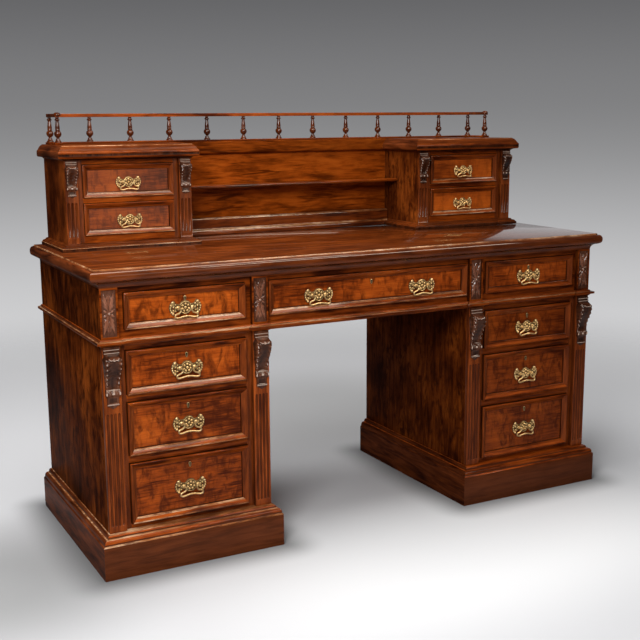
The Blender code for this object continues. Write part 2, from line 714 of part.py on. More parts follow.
def drawer(name, place, size, moulding, wood):
    """One drawer, with its origin at the foot of its front, in the face of the case."""
    width, height, length = size
    mould_w, mould_out, sink = moulding
    box_w = width - 2 * DRAWER_SIDE_SET
    box_top = height - DRAWER_SIDE_DROP
    rings = [rectangle(box_w, 0, box_top, 0, y) for y in (length, DRAWER_FRONT_T)]
    rings += [rectangle(width, 0, height, 0, DRAWER_FRONT_T - DRAWER_LAP)]
    for inset, rise in scaled(DRAWER_PROFILE, mould_w, mould_out):
        rings.append(rectangle(width, 0, height, inset, -rise))
    rings.append(rectangle(width, 0, height, mould_w, sink))
    piece = skinned(name, rings, wood)
    inside = box_w / 2 - DRAWER_SIDE_T
    floor = DRAWER_BOTTOM_UP + DRAWER_BOTTOM_T
    back = length - DRAWER_SIDE_T
    tools = [
        ((-inside, DRAWER_FRONT_T, floor), (inside, back, height + floor)),
        ((-inside, DRAWER_FRONT_T, -floor), (inside, back, DRAWER_BOTTOM_UP)),
    ]
    cut(piece, boxes("inside", tools, wood))
    piece.location = place
    return piece


def plate_mesh(width, height, spacing, brass):
    """A pierced plate with two drilled posts. Its back lies at y = 0, and the bail's axis at z = 0."""
    right = [(x * width / 2, z * height / 2) for x, z in PLATE_OUTLINE]
    outline = right + [(-x, z) for x, z in reversed(right[1:-1])]
    plate = skinned("plate", [[(x, y, z) for x, z in outline] for y in (0, -PLATE_T)], brass)
    mesh_builder = bmesh.new()
    for sign in SIDES.values():
        ring = []
        for i in range(POST_SIDES):
            turn = 2 * math.pi * i / POST_SIDES
            across = sign * PIERCING_X + PIERCING_W * math.cos(turn)
            ring.append((across * width / 2, PIERCING_H * math.sin(turn) * height / 2))
        add_skin(mesh_builder, [[(x, y, z) for x, z in ring] for y in (PLATE_T, -2 * PLATE_T)])
    cut(plate, new_object("piercings", mesh_builder, brass))

    axis_y = PLATE_T + POST_REACH
    profile = [(0, PLATE_T / 2), (POST_NECK_R, PLATE_T / 2), (POST_R, axis_y - POST_R)]
    profile += [(POST_R, axis_y + POST_R), (0, axis_y + POST_R)]
    mesh_builder = bmesh.new()
    for sign in SIDES.values():
        place = Matrix.Translation((sign * spacing / 2, 0, 0)) @ Matrix.Rotation(math.pi / 2, 4, "X")
        add_turned(mesh_builder, profile, POST_SIDES, place)
    join(plate, new_object("posts", mesh_builder, brass, True))

    bore = (PIN_R + PIN_GAP) / math.cos(math.pi / POST_SIDES)
    reach = spacing / 2 + 2 * POST_R
    mesh_builder = bmesh.new()
    place = Matrix.Translation((0, -axis_y, 0)) @ Matrix.Rotation(math.pi / 2, 4, "Y")
    add_turned(mesh_builder, [(0, reach), (bore, reach), (bore, -reach), (0, -reach)], POST_SIDES, place)
    cut(plate, new_object("bore", mesh_builder, brass))
    mesh = plate.data
    bpy.data.objects.remove(plate)
    return mesh


def bail_curve(name, spacing, out, drop, brass):
    """A swan-necked bail that hangs from its pins, which lie on the X axis."""
    post = spacing / 2
    half_w = post + out
    right = [(post - POST_R / 2, 0, PIN_R), (post + POST_R + WIRE_R, 0, PIN_R)]
    right += [(share * half_w, -down * drop, WIRE_R) for share, down in BAIL_PATH]
    right += [(KNOP_R, -KNOP_DOWN * drop, KNOP_R)]
    left = [(-x, z, radius) for x, z, radius in reversed(right)]
    curve = bpy.data.curves.new(name, "CURVE")
    curve.dimensions = "3D"
    curve.bevel_depth = 1
    curve.bevel_resolution = 1
    curve.use_fill_caps = True
    line = curve.splines.new("POLY")
    line.points.add(len(right + left) - 1)
    for point, (x, z, radius) in zip(line.points, right + left):
        point.co = (x, 0, z, 1)
        point.radius = radius
    curve.materials.append(brass)
    return curve


def handle(name, piece, x, centre_z, panel_y, kind):
    """A plate and its bail on a drawer's panel; the bail's origin lies on its hinge."""
    plate = bpy.data.objects.new(f"{name}_plate", kind["plate"])
    plate.location = (x, panel_y - SEAT_GAP, centre_z)
    bail = bpy.data.objects.new(f"{name}_bail", kind["bail"])
    bail.location = plate.location + Vector((0, -PLATE_T - POST_REACH, 0))
    for part in (plate, bail):
        bpy.context.scene.collection.objects.link(part)
        part.parent = piece


def lower_drawers(wood, kind):
    moulding = (LOWER_MOULD_W, LOWER_MOULD_OUT, LOWER_PANEL_SINK)
    length = BACK - BACK_BOARD_T - DRAWER_BACK_GAP - CASE_FRONT
    places = []
    for side, sign in SIDES.items():
        heights = (BOTTOM_DRAWER_H, MIDDLE_DRAWER_H, TOP_DRAWER_H)
        for level, bay, height in zip(("bottom", "middle", "top"), PEDESTAL_BAYS, heights):
            places.append((f"{side}_{level}_drawer", sign * PEDESTAL_X, bay[0], PEDESTAL_DRAWER_W, height))
        name = f"{side}_frieze_drawer"
        places.append((name, sign * PEDESTAL_X, FRIEZE_BAY[0], PEDESTAL_DRAWER_W, FRIEZE_DRAWER_H))
    places.append(("centre_frieze_drawer", 0, FRIEZE_BAY[0], CENTRE_DRAWER_W, FRIEZE_DRAWER_H))
    for name, x, floor, width, height in places:
        place = (x, CASE_FRONT, floor + SEAT_GAP)
        piece = drawer(name, place, (width, height, length), moulding, wood)
        centre_z = height / 2 - HANDLE_BELOW_CENTRE
        if name.startswith("centre"):
            for side, sign in SIDES.items():
                offset = sign * CENTRE_HANDLE_SPACING / 2
                handle(f"{name}_{side}", piece, offset, centre_z, LOWER_PANEL_SINK, kind)
        else:
            handle(name, piece, 0, centre_z, LOWER_PANEL_SINK, kind)


def cabinet_drawers(wood, kind):
    moulding = (UPPER_MOULD_W, UPPER_MOULD_OUT, UPPER_PANEL_SINK)
    length = BACK - BACK_BOARD_T - DRAWER_BACK_GAP - CABINET_FRONT
    for side, sign in SIDES.items():
        for level, bay, height in zip(("lower", "upper"), CABINET_BAYS, (CABINET_LOWER_H, CABINET_UPPER_H)):
            place = (sign * CABINET_X, CABINET_FRONT, bay[0] + SEAT_GAP)
            name = f"{side}_cabinet_{level}_drawer"
            piece = drawer(name, place, (CABINET_DRAWER_W, height, length), moulding, wood)
            handle(name, piece, 0, height / 2 - HANDLE_BELOW_CENTRE, UPPER_PANEL_SINK, kind)


def build():
    clear_scene()
    wood = finish_material("mahogany", (0.16, 0.045, 0.016), 0.28, 0)
    veneer = finish_material("flame_veneer", (0.26, 0.075, 0.022), 0.25, 0)
    brass = finish_material("brass", (0.70, 0.50, 0.22), 0.30, 1)
    large = {
        "plate": plate_mesh(PLATE_W, PLATE_H, POST_SPACING, brass),
        "bail": bail_curve("bail", POST_SPACING, BAIL_OUT, BAIL_DROP, brass),
    }
    small = {
        "plate": plate_mesh(SMALL_PLATE_W, SMALL_PLATE_H, SMALL_POST_SPACING, brass),
        "bail": bail_curve("small_bail", SMALL_POST_SPACING, SMALL_BAIL_OUT, SMALL_BAIL_DROP, brass),
    }
    plinths(wood)
    pedestals(wood)
    pilasters(wood)
    frieze(wood)
    desktop(wood)
    cabinets(wood)
    cornices(wood)
    raised_back(wood)
    gallery(wood)
    lower_drawers(veneer, large)
    cabinet_drawers(veneer, small)


build()
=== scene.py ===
# %% [markdown]
# # Dressing a mahogany pedestal desk
# The imported model is the frame of this lesson. It gives every piece its size, its place and the body that it
# moves with. Each cell below makes one kind of piece again with a modeller's tools, with the rounded edges,
# the carving and the polish that plain solids leave out, and then hides the solid that it stands for.
# The frame is loaded first.

# %% Load the frame
import math

import bpy
from mathutils import Matrix, Vector


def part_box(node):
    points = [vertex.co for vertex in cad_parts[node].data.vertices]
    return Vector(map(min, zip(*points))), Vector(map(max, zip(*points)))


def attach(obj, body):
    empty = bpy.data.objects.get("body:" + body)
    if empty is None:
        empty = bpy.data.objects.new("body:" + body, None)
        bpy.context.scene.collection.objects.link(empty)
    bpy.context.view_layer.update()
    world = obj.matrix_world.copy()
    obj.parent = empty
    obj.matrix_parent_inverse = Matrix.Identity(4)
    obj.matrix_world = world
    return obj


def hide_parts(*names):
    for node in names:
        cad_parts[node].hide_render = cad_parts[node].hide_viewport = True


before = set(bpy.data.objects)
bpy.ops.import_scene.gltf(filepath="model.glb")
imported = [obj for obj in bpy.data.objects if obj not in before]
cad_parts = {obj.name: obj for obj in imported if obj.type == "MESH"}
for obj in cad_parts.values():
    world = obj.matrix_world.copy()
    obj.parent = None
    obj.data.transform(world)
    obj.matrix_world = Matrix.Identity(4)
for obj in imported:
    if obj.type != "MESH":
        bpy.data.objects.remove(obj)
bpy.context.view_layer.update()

# %% [markdown]
# ## Tools used again and again
# Operators act on what is selected and active, so each helper lets go of everything first. `placed` moves a
# new primitive's location and scale into its mesh, so that every finished piece sits at the origin. Most
# pieces could also be made with bmesh calls; operators are used because they are what the menus do.

# %% Selecting and naming
def deselect():
    if bpy.context.object and bpy.context.object.mode != "OBJECT":
        bpy.ops.object.mode_set(mode="OBJECT")
    bpy.ops.object.select_all(action="DESELECT")


def only(*pieces):
    deselect()
    for piece in pieces:
        piece.select_set(True)
    bpy.context.view_layer.objects.active = pieces[0]


def placed(name):
    """Names the piece that was just made and moves its place into its mesh."""
    bpy.ops.object.mode_set(mode="OBJECT")
    piece = bpy.context.object
    piece.name = name
    piece.data.name = name
    bpy.ops.object.transform_apply(location=True, rotation=True, scale=True)
    return piece


def pick(piece, test, kind="FACE"):
    """Goes into edit mode with just the faces (or edges, or points) selected that pass a test."""
    only(piece)
    bpy.ops.object.mode_set(mode="EDIT")
    bpy.ops.mesh.select_mode(type=kind)
    bpy.ops.mesh.select_all(action="DESELECT")
    bpy.ops.object.mode_set(mode="OBJECT")
    parts = {"FACE": piece.data.polygons, "EDGE": piece.data.edges, "VERT": piece.data.vertices}
    for part in parts[kind]:
        part.select = bool(test(part))
    bpy.ops.object.mode_set(mode="EDIT")


def edit_all(piece):
    """Goes into edit mode with everything selected."""
    only(piece)
    bpy.ops.object.mode_set(mode="EDIT")
    bpy.ops.mesh.select_all(action="SELECT")


def outward(piece):
    """Merges doubled points and turns every face outward."""
    edit_all(piece)
    bpy.ops.mesh.remove_doubles(threshold=1e-6)
    bpy.ops.mesh.normals_make_consistent(inside=False)
    bpy.ops.object.mode_set(mode="OBJECT")


def smooth(piece, angle=35):
    only(piece)
    bpy.ops.object.shade_smooth_by_angle(angle=math.radians(angle))


# %% [markdown]
# ## Finishing a piece
# Edges of real joinery are never quite sharp, so a Bevel modifier rounds them, and a Boolean modifier cuts or
# unites. Both are applied at once, because later steps select faces of the result. `dress` hands the finished
# piece to the frame.

# %% Rounding, cutting, joining and painting
def soften(piece, width, segments=2, angle=40):
    """Rounds every edge that is sharper than an angle, with a Bevel modifier applied at once."""
    step = piece.modifiers.new("soften", "BEVEL")
    step.width = width
    step.segments = segments
    step.limit_method = "ANGLE"
    step.angle_limit = math.radians(angle)
    only(piece)
    bpy.ops.object.modifier_apply(modifier=step.name)
    smooth(piece)


def joined(name, pieces):
    only(*pieces)
    if len(pieces) > 1:
        bpy.ops.object.join()
    return placed(name)


def carve(piece, tools, operation="DIFFERENCE"):
    """Cuts the tools out of the piece, or unites them with it, and takes them away."""
    tool = joined("tool", tools)
    step = piece.modifiers.new("carve", "BOOLEAN")
    step.operation = operation
    step.solver = "EXACT"
    step.object = tool
    only(piece)
    bpy.ops.object.modifier_apply(modifier=step.name)
    bpy.data.objects.remove(tool)


def copied(piece, name, move=(0, 0, 0)):
    """A copy with a mesh of its own, moved to another place."""
    only(piece)
    bpy.ops.object.duplicate()
    bpy.ops.transform.translate(value=move)
    return placed(name)


def linked(name, data):
    """A new object in the scene, for data that no operator adds."""
    made = bpy.data.objects.new(name, data)
    bpy.context.scene.collection.objects.link(made)
    return made


def paint(piece, finishes, rule=lambda face: 0):
    """Gives each face one of the finishes, by a rule that reads the face and returns its index."""
    piece.data.materials.clear()
    for finish in finishes:
        piece.data.materials.append(finish)
    for face in piece.data.polygons:
        face.material_index = rule(face)


def dress(piece, body, slot, *nodes):
    """Tells the frame which body the piece moves with and which solids it stands for."""
    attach(piece, body)
    if nodes:
        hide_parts(*nodes)


# %% [markdown]
# ## Two ways to start a piece
# `block` is a cube added at its size and place. `grown` starts from one flat outline and works upwards: each
# row is extruded from the last face and resized about a centre. With the centre on the flush back edge it
# makes mouldings that are mitred round three sides, and with a round outline it does a lathe's work. A
# profile swept along a path would need its mitres mended, which growing gives for nothing.

# %% Blocks, grown pieces and curved steps
def block(name, low, high):
    deselect()
    low, high = Vector(low), Vector(high)
    bpy.ops.mesh.primitive_cube_add(size=1, location=(low + high) / 2, scale=high - low)
    return placed(name)


def grown(name, rows, centre, sides=0):
    """Grows from the first row of (width, depth, z) to the last; sides gives a round outline."""
    deselect()
    width, depth, z = rows[0]
    if sides:
        bpy.ops.mesh.primitive_circle_add(vertices=sides, radius=0.5, fill_type="NGON", location=(*centre, z))
    else:
        bpy.ops.mesh.primitive_plane_add(size=1, location=(*centre, z))
    edit_all(bpy.context.object)
    if not sides:
        bpy.ops.transform.translate(value=(0, -0.5, 0))
    bpy.ops.transform.resize(value=(width, depth, 1), center_override=(*centre, z))
    for wide, deep, up in rows[1:]:
        bpy.ops.mesh.extrude_region_move(TRANSFORM_OT_translate={"value": (0, 0, up - z)})
        bpy.ops.transform.resize(value=(wide / width, deep / depth, 1), center_override=(*centre, up))
        width, depth, z = wide, deep, up
    piece = placed(name)
    outward(piece)
    return piece


def quarter(start, end, steps, first):
    """Points after start on a quarter ellipse to end, which leaves start along coordinate first."""
    points = []
    for i in range(1, steps + 1):
        turn = math.pi / 2 * i / steps
        shares = [1 - math.cos(turn), 1 - math.cos(turn)]
        shares[first] = math.sin(turn)
        points.append(tuple(a + (b - a) * share for a, b, share in zip(start, end, shares)))
    return points


def stepped(steps, width, depth, z):
    """Rows for grown: steps of (how far out, how far up) round three sides of a width and a depth."""
    return [(width + 2 * out, depth + out, z + up) for out, up in steps]


def ramp(value, low, high):
    """A smooth step from 0 to 1 between two values."""
    t = min(max((value - low) / (high - low), 0), 1)
    return t * t * (3 - 2 * t)


# %% [markdown]
# ## Measures read from the frame
# The boxes of the nodes give the faces that the new pieces are built to. Where a node's box ends in carving,
# the plane behind the carving is worked out from the thickness of its board.

# %% Planes of the desk
SEAM = 0.0003  # between two pieces that lie against each other
PILASTER_T, FRIEZE_MOULD_H, PANEL_T = 0.013, 0.018, 0.015
CABINET_DEEP, CABINET_PILASTER_T, CABINET_SET = 0.218, 0.010, 0.027
DRAWER_PLAY, DRAWER_OVER, DRAWER_BEHIND = 0.0008, 0.0015, 0.010
CUT_PAST = 0.05  # how far a cutter reaches past what it cuts
SIDES = {"left": -1, "right": 1}
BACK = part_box("desktop")[1].y
CASE_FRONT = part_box("left_pedestal")[0].y
PILASTER_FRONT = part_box("left_outer_pilaster")[1].y + SEAM - PILASTER_T
PEDESTAL_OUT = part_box("right_pedestal")[1].x
FRIEZE_Z, FRIEZE_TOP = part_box("frieze")[0].z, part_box("frieze")[1].z
FRIEZE_CASE_Z = FRIEZE_Z + FRIEZE_MOULD_H
PANEL_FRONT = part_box("back_board")[1].y - PANEL_T
CABINET_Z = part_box("left_cabinet")[0].z
CABINET_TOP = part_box("left_cabinet")[1].z
CABINET_PILASTER_FRONT = BACK - CABINET_DEEP
CABINET_FRONT = CABINET_PILASTER_FRONT + CABINET_PILASTER_T
CABINET_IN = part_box("back_board")[1].x + SEAM
CABINET_OUT = PEDESTAL_OUT - CABINET_SET
PILASTERS = ("left_outer", "left_inner", "right_inner", "right_outer")
LEVELS = ("bottom", "middle", "top", "frieze")
LOWER_DRAWERS = [f"{side}_{level}_drawer" for side in SIDES for level in LEVELS] + ["centre_frieze_drawer"]
CABINET_DRAWERS = [f"{side}_cabinet_{level}_drawer" for side in SIDES for level in ("lower", "upper")]


def bay(drawer, front):
    """A cutter for a drawer's opening: the drawer's box and its clearances, from in front of the case."""
    low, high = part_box(drawer)
    near = (low.x - DRAWER_PLAY, front - CUT_PAST, low.z - SEAM)
    return block("bay", near, (high.x + DRAWER_PLAY, high.y + DRAWER_BEHIND, high.z + DRAWER_OVER))


print("cabinets from", round(CABINET_IN, 4), "to", round(CABINET_OUT, 4), "m beside the middle")

# %% [markdown]
# ## Shader sums
# A `Signal` is a socket that Python can do sums with, so a material reads like a formula. `Nodes` adds any
# other node to a tree, with its settings first and its sockets after. A `Finish` is one material.

# %% Signals and finishes
class Signal:
    def __init__(self, finish, socket):
        self.finish, self.socket = finish, socket

    def sum(self, operation, first, second):
        return self.finish.node("ShaderNodeMath", {"operation": operation}, {0: first, 1: second})

    def __add__(self, other):
        return self.sum("ADD", self, other)

    __radd__ = __add__

    def __sub__(self, other):
        return self.sum("SUBTRACT", self, other)

    def __rsub__(self, other):
        return self.sum("SUBTRACT", other, self)

    def __mul__(self, other):
        return self.sum("MULTIPLY", self, other)

    __rmul__ = __mul__


class Nodes:
    def __init__(self, tree):
        self.tree = tree

    def node(self, kind, settings, sockets, output=0):
        made = self.tree.nodes.new(kind)
        for name, value in settings.items():
            setattr(made, name, value)
        for key, value in sockets.items():
            self.feed(made.inputs[key], value)
        return Signal(self, made.outputs[output])

    def feed(self, socket, value):
        if isinstance(value, Signal):
            self.tree.links.new(value.socket, socket)
        else:
            socket.default_value = value

    def point(self, kind="Object"):
        """The point on the piece, or for a world the direction (Generated)."""
        return self.node("ShaderNodeTexCoord", {}, {}, kind)

    def place(self, scale):
        """The point on the piece, stretched by a scale along each axis."""
        return self.node("ShaderNodeMapping", {}, {"Vector": self.point(), "Scale": scale})

    def axis(self, vector, letter):
        return self.node("ShaderNodeSeparateXYZ", {}, {0: vector}, "XYZ".index(letter))

    def vector(self, operation, *ends):
        """A sum of vectors; only a length is a plain number, on the second output."""
        output = 1 if operation == "LENGTH" else 0
        return self.node("ShaderNodeVectorMath", {"operation": operation}, dict(enumerate(ends)), output)

    def stored(self, name):
        """A value that was stored on the points of the piece."""
        return self.node("ShaderNodeAttribute", {"attribute_name": name}, {}, "Fac")

    def ray(self, kind):
        return self.node("ShaderNodeLightPath", {}, {}, f"Is {kind} Ray")

    def bumps(self, strength, distance, height):
        sockets = {"Strength": strength, "Distance": distance, "Height": height}
        return self.node("ShaderNodeBump", {}, sockets)

    def noise(self, place, size, detail, roughness=0.55, distortion=0.0):
        sockets = {"Vector": place, "Scale": 1 / size, "Detail": detail, "Roughness": roughness}
        sockets["Distortion"] = distortion
        return self.node("ShaderNodeTexNoise", {}, sockets)

    def step(self, value, low, high):
        sockets = {"Value": value, "From Min": low, "From Max": high}
        return self.node("ShaderNodeMapRange", {"interpolation_type": "SMOOTHSTEP"}, sockets)

    def mix(self, share, first, second):
        return self.node("ShaderNodeMix", {"data_type": "RGBA"}, {0: share, 6: first, 7: second}, 2)


class Finish(Nodes):
    def __init__(self, name, constants):
        self.material = bpy.data.materials.new(name)
        self.material.use_nodes = True
        super().__init__(self.material.node_tree)
        self.shader = self.tree.nodes["Principled BSDF"]
        for socket, value in constants.items():
            self.shader.inputs[socket].default_value = value

    def use(self, **signals):
        for name, signal in signals.items():
            self.feed(self.shader.inputs[name.replace("_", " ").title()], signal)
        return self.material


# %% [markdown]
# ## Polished mahogany
# The desk is veneered and polished, and its boards differ in colour, so one function makes every wood of it.
# Fibres and pores are noise that is stretched along the grain; broad bands and blotches of figure lie over
# them; a slow drift keeps two boards from matching. Every wood darkens a little towards the right, as painted
# shade. The polish is a coat over the wood, duller where the pores are open. Carved woods get painted shade in
# their hollows and a painted highlight on their high points. A photograph of veneer would be quicker, but
# noise suits boards of any size.

# %% The mahogany function
def mahogany(name, grain, tones, figure, polish, stripe=0.55, haze=0.09, hollow_shade=0.0, highlight_share=0.35):
    """Tones run dark, middle, light. Figure is (size of a blotch in X, Y, Z in metres, how strong).

    Stripe is the share of the bands in the tone, haze the roughness of the polish; the last two give how much
    painted shade darkens what lies deep in a carving and how much painted highlight brightens what stands out.
    """
    shine = 0.06 * min(1, polish * 4)
    wood = Finish(name, {"Coat Roughness": haze, "Coat IOR": 1.5, "IOR": 1.45, "Specular IOR Level": shine})
    dark, middle, light = [(*tone, 1) for tone in tones]

    def stretched(share):
        return wood.place([share if letter == grain else 1 for letter in "XYZ"])

    fibres = wood.noise(stretched(0.05), 0.0022, 4, 0.6)
    bands = wood.noise(stretched(0.12), 0.016, 3, 0.5, 0.8)
    pores = wood.step(wood.noise(stretched(0.03), 0.0007, 2), 0.60, 0.72)
    size, strength = figure
    blotches = wood.noise(wood.place([1 / value for value in size]), 1.0, 4, 0.6, 0.9)
    feathers = wood.noise(wood.place([2.6 / value for value in size]), 1.0, 2, 0.5, 0.5)
    blotch = wood.step(blotches * 0.75 + feathers * 0.25, 0.44, 0.66)
    drift = wood.noise(wood.place((1, 1, 1)), 0.16, 3)
    tone = bands * stripe + fibres * 0.25 + drift * (0.75 - stripe)
    colour = wood.mix(wood.step(tone, 0.38, 0.52), dark, middle)
    colour = wood.mix(wood.step(tone, 0.48, 0.64), colour, light)
    colour = wood.mix(blotch * strength, colour, dark)
    colour = wood.mix(pores * 0.4, colour, dark)
    # Painted shade: every wood darkens towards the right, where less light falls.
    shade_to_right = wood.step(wood.axis(wood.point(), "X"), -0.4, 0.9)
    colour = wood.mix(shade_to_right * 0.38, colour, dark)
    # Painted shade in the hollows of a carving and a painted highlight on its high points, read from the
    # stored relief.
    if hollow_shade:
        height = wood.stored("relief")
        sunk = hollow_shade - wood.step(height, 0.05, 0.60) * hollow_shade
        colour = wood.mix(sunk, colour, (0.012, 0.004, 0.002, 1))
        colour = wood.mix(wood.step(height, 0.74, 1.10) * highlight_share, colour, (0.74, 0.56, 0.44, 1))
    rough = fibres * 0.14 + pores * 0.10 + 0.26
    normal = wood.bumps(0.12, 0.0004, fibres - pores * 0.6)
    return wood.use(base_color=colour, roughness=rough, coat_weight=polish - pores * 0.3, normal=normal)


def tinted(tones, factor):
    """The same wood, paler or darker."""
    return [[value * factor for value in tone] for tone in tones]


# %% [markdown]
# ## The woods of the desk
# Each wood names the way of its grain, its tones, its figure and the weight of its polish. The tones were
# changed until areas of the render came close to the photograph: rails and drawers are warm, sides and returns
# dark. Some woods are copies that carry painted light: darker copies on the right half as painted shade,
# lighter ones on the frieze drawers, the left top drawer, one pilaster and the faces that look up as painted
# light, and pale crests as painted highlights. Many small finishes are simpler here than one that knows every
# board.

# %% Tones and woods
# Dark, middle and light tones
RED = ((0.062, 0.0115, 0.0022), (0.130, 0.0255, 0.0042), (0.215, 0.0450, 0.0072))
DEEP = ((0.026, 0.0050, 0.0013), (0.105, 0.0220, 0.0048), (0.185, 0.0420, 0.0100))
AMBER = ((0.060, 0.0085, 0.0010), (0.290, 0.049, 0.0040), (0.470, 0.092, 0.0080))
GOLD = ((0.085, 0.0140, 0.0012), (0.320, 0.060, 0.0050), (0.450, 0.095, 0.0085))
MOTTLE = ((0.018, 0.0030, 0.0006), (0.085, 0.0165, 0.0026), (0.215, 0.0480, 0.0062))
# The next tones are a painted highlight: a pale cream for crests where highlights fall.
HIGHLIGHT_TONES = ((0.090, 0.022, 0.0060), (0.42, 0.150, 0.045), (0.85, 0.56, 0.33))
PLAIN = ((0.070, 0.0165, 0.0046), (0.105, 0.0245, 0.0066), (0.142, 0.0340, 0.0092))
BROWN = ((0.034, 0.0095, 0.0042), (0.130, 0.0390, 0.0160), (0.230, 0.0760, 0.0340))
PINK = ((0.060, 0.0190, 0.0090), (0.200, 0.0700, 0.0360), (0.320, 0.1250, 0.0700))
PALE = ((0.16, 0.085, 0.040), (0.30, 0.175, 0.085), (0.40, 0.25, 0.13))

# Figure: blotches drawn out along rails, along returns, up stiles and over boards
ACROSS, INWARD, UPWARD = ((0.09, 0.03, 0.02), 0.40), ((0.03, 0.09, 0.02), 0.35), ((0.02, 0.02, 0.07), 0.35)
ON_SLOPE, ON_PLINTH = ((0.07, 0.03, 0.02), 0.40), ((0.20, 0.03, 0.03), 0.25)
ON_BOARD, ON_FLAME = ((0.10, 0.04, 0.03), 0.55), ((0.024, 0.024, 0.060), 0.85)
ON_CARVING = (0.02, 0.02, 0.05)

# Rails and mouldings
RAIL_WOOD = mahogany("rail_mahogany", "X", tinted(AMBER, 0.72), ACROSS, 0.20)
CASE_RAIL = mahogany("cabinet_rail", "X", tinted(AMBER, 0.95), ACROSS, 0.05)
# Painted light: a lighter wood for moulding faces that look up into the light
LIT_SLOPE_WOOD = mahogany("painted_lit_moulding", "X", tinted(AMBER, 1.15), ON_SLOPE, 0.35, 0.4, 0.07)
CORNICE_WOOD = mahogany("cornice_mahogany", "X", tinted(RED, 0.90), ((0.09, 0.03, 0.02), 0.45), 0.12)
# Painted highlight: a pale cream wood for the crests of mouldings and rims
HIGHLIGHT_WOOD = mahogany("painted_highlight_edge", "X", HIGHLIGHT_TONES, ((0.030, 0.012, 0.012), 0.80), 0.80, 0.40, 0.10)
RETURN_WOOD = mahogany("return_mahogany", "Y", DEEP, INWARD, 0.35)
# A darker copy for the right plinth's returns, as painted shade
DARK_RETURN = mahogany("dark_return", "Y", tinted(DEEP, 0.70), INWARD, 0.10)
PLINTH_WOOD = mahogany("plinth_mahogany", "X", PLAIN, ON_PLINTH, 0.30, 0.50)
# A darker copy for the right plinth, as painted shade
DARK_PLINTH = mahogany("dark_plinth", "X", tinted(PLAIN, 0.85), ON_PLINTH, 0.25, 0.50)
# Stiles and pilasters
STILE_WOOD = mahogany("stile_mahogany", "Z", tinted(RED, 1.35), UPWARD, 0.25)
PILASTER_WOOD = mahogany("pilaster_mahogany", "Z", tinted(RED, 1.55), UPWARD, 0.25)
# A lighter copy for the left inner pilaster, as painted light
LIT_PILASTER = mahogany("lit_pilaster", "Z", tinted(RED, 2.0), UPWARD, 0.25)
# A darker wood in flutes and on pilaster sides, as painted shade
FLUTE_WOOD = mahogany("flute_mahogany", "Z", tinted(RED, 0.85), ((0.02, 0.02, 0.07), 0.30), 0.35)
SHADOW_WOOD = mahogany("dark_hollows", "Z", tinted(DEEP, 0.55), ((0.02, 0.02, 0.07), 0.3), 0.3)
# Sides, boards and the top
SIDE_VENEER = mahogany("mottled_veneer", "Z", MOTTLE, ((0.030, 0.030, 0.060), 0.88), 0.02, 0.30)
CASE_VENEER = mahogany("case_veneer", "Z", tinted(MOTTLE, 1.4), ((0.035, 0.035, 0.060), 0.70), 0.04, 0.10)
# A darker copy for the right cabinet, as painted shade
DARK_CASE = mahogany("dark_case_veneer", "Z", tinted(MOTTLE, 1.25), ((0.022, 0.022, 0.045), 0.85), 0.02, 0.30)
BOARD_WOOD = mahogany("board_mahogany", "X", tinted(GOLD, 1.1), ON_BOARD, 0.03)
TOP_RAIL_WOOD = mahogany("top_rail_mahogany", "X", tinted(GOLD, 0.72), ON_BOARD, 0.03)
LEDGE_WOOD = mahogany("ledge_mahogany", "X", tinted(AMBER, 0.6), ((0.10, 0.04, 0.03), 0.35), 0.90, 0.5, 0.05)
TOP_WOOD = mahogany("top_mahogany", "X", tinted(RED, 0.95), ((0.12, 0.05, 0.05), 0.55), 1.0, 0.55, 0.025)
# Drawer fronts and the boxes behind them
# Lighter and darker copies of one flame veneer, as painted light and painted shade
VENEERS = {
    name: mahogany(f"{name}_flame_veneer", "X", tinted(AMBER, factor), ON_FLAME, 0.28, 0.28)
    for name, factor in (("bright", 1.30), ("middle", 1.08), ("deep", 0.84))
}
for name, tones, strength, polish in (("left", AMBER, 0.60, 0.5), ("right", tinted(GOLD, 1.7), 0.45, 0.2)):
    figure = ((0.020, 0.020, 0.045), strength)
    VENEERS[name] = mahogany(f"{name}_cabinet_veneer", "X", tones, figure, polish, 0.20)
LINING = mahogany("drawer_lining", "Y", PALE, ((0.05, 0.3, 0.05), 0.2), 0.0)
# Carved and turned pieces
# Carved woods: painted shade in their hollows and a painted highlight on their high points
CARVED_WOOD = mahogany(
    "carved_mahogany", "Z", tinted(BROWN, 0.80), (ON_CARVING, 0.35), 1.0, 0.4, hollow_shade=0.70, highlight_share=0.80
)
BLOCK_WOOD = mahogany("carved_block", "Z", tinted(PINK, 1.15), (ON_CARVING, 0.30), 1.0, 0.4, 0.10, 0.60)
TURNED_WOOD = mahogany("turned_mahogany", "Z", tinted(RED, 0.72), ((0.02, 0.02, 0.04), 0.30), 1.0)
print("woods", len(bpy.data.materials))

# %% [markdown]
# ## Brass and iron
# The handles are lacquered brass, darker and duller in their hollows: partly patina, and partly painted shade
# that stands for the shadows round the ornament. The `relief` value, stored on the points when a handle is
# modelled, says how far each point stands out. The iron of the locks only shows in the keyholes, near black as
# painted shade.

# %% Metals
def aged_brass():
    brass = Finish("aged_brass", {"Metallic": 0.88, "IOR": 1.5})
    cloud = brass.noise(brass.place((1, 1, 1)), 0.006, 4, 0.6)
    # Patina and painted shade: darker and duller where the relief is low
    patina_and_shade = 1 - brass.step(brass.stored("relief") + (cloud - 0.5) * 0.16, 0.16, 0.52)
    colour = brass.mix(brass.step(cloud, 0.35, 0.70), (0.93, 0.68, 0.34, 1), (0.66, 0.43, 0.18, 1))
    colour = brass.mix(patina_and_shade * 0.90, colour, (0.11, 0.058, 0.018, 1))
    normal = brass.bumps(0.10, 0.0002, brass.noise(brass.place((1, 1, 4)), 0.0011, 2))
    return brass.use(base_color=colour, roughness=cloud * 0.10 + patina_and_shade * 0.15 + 0.30, normal=normal)


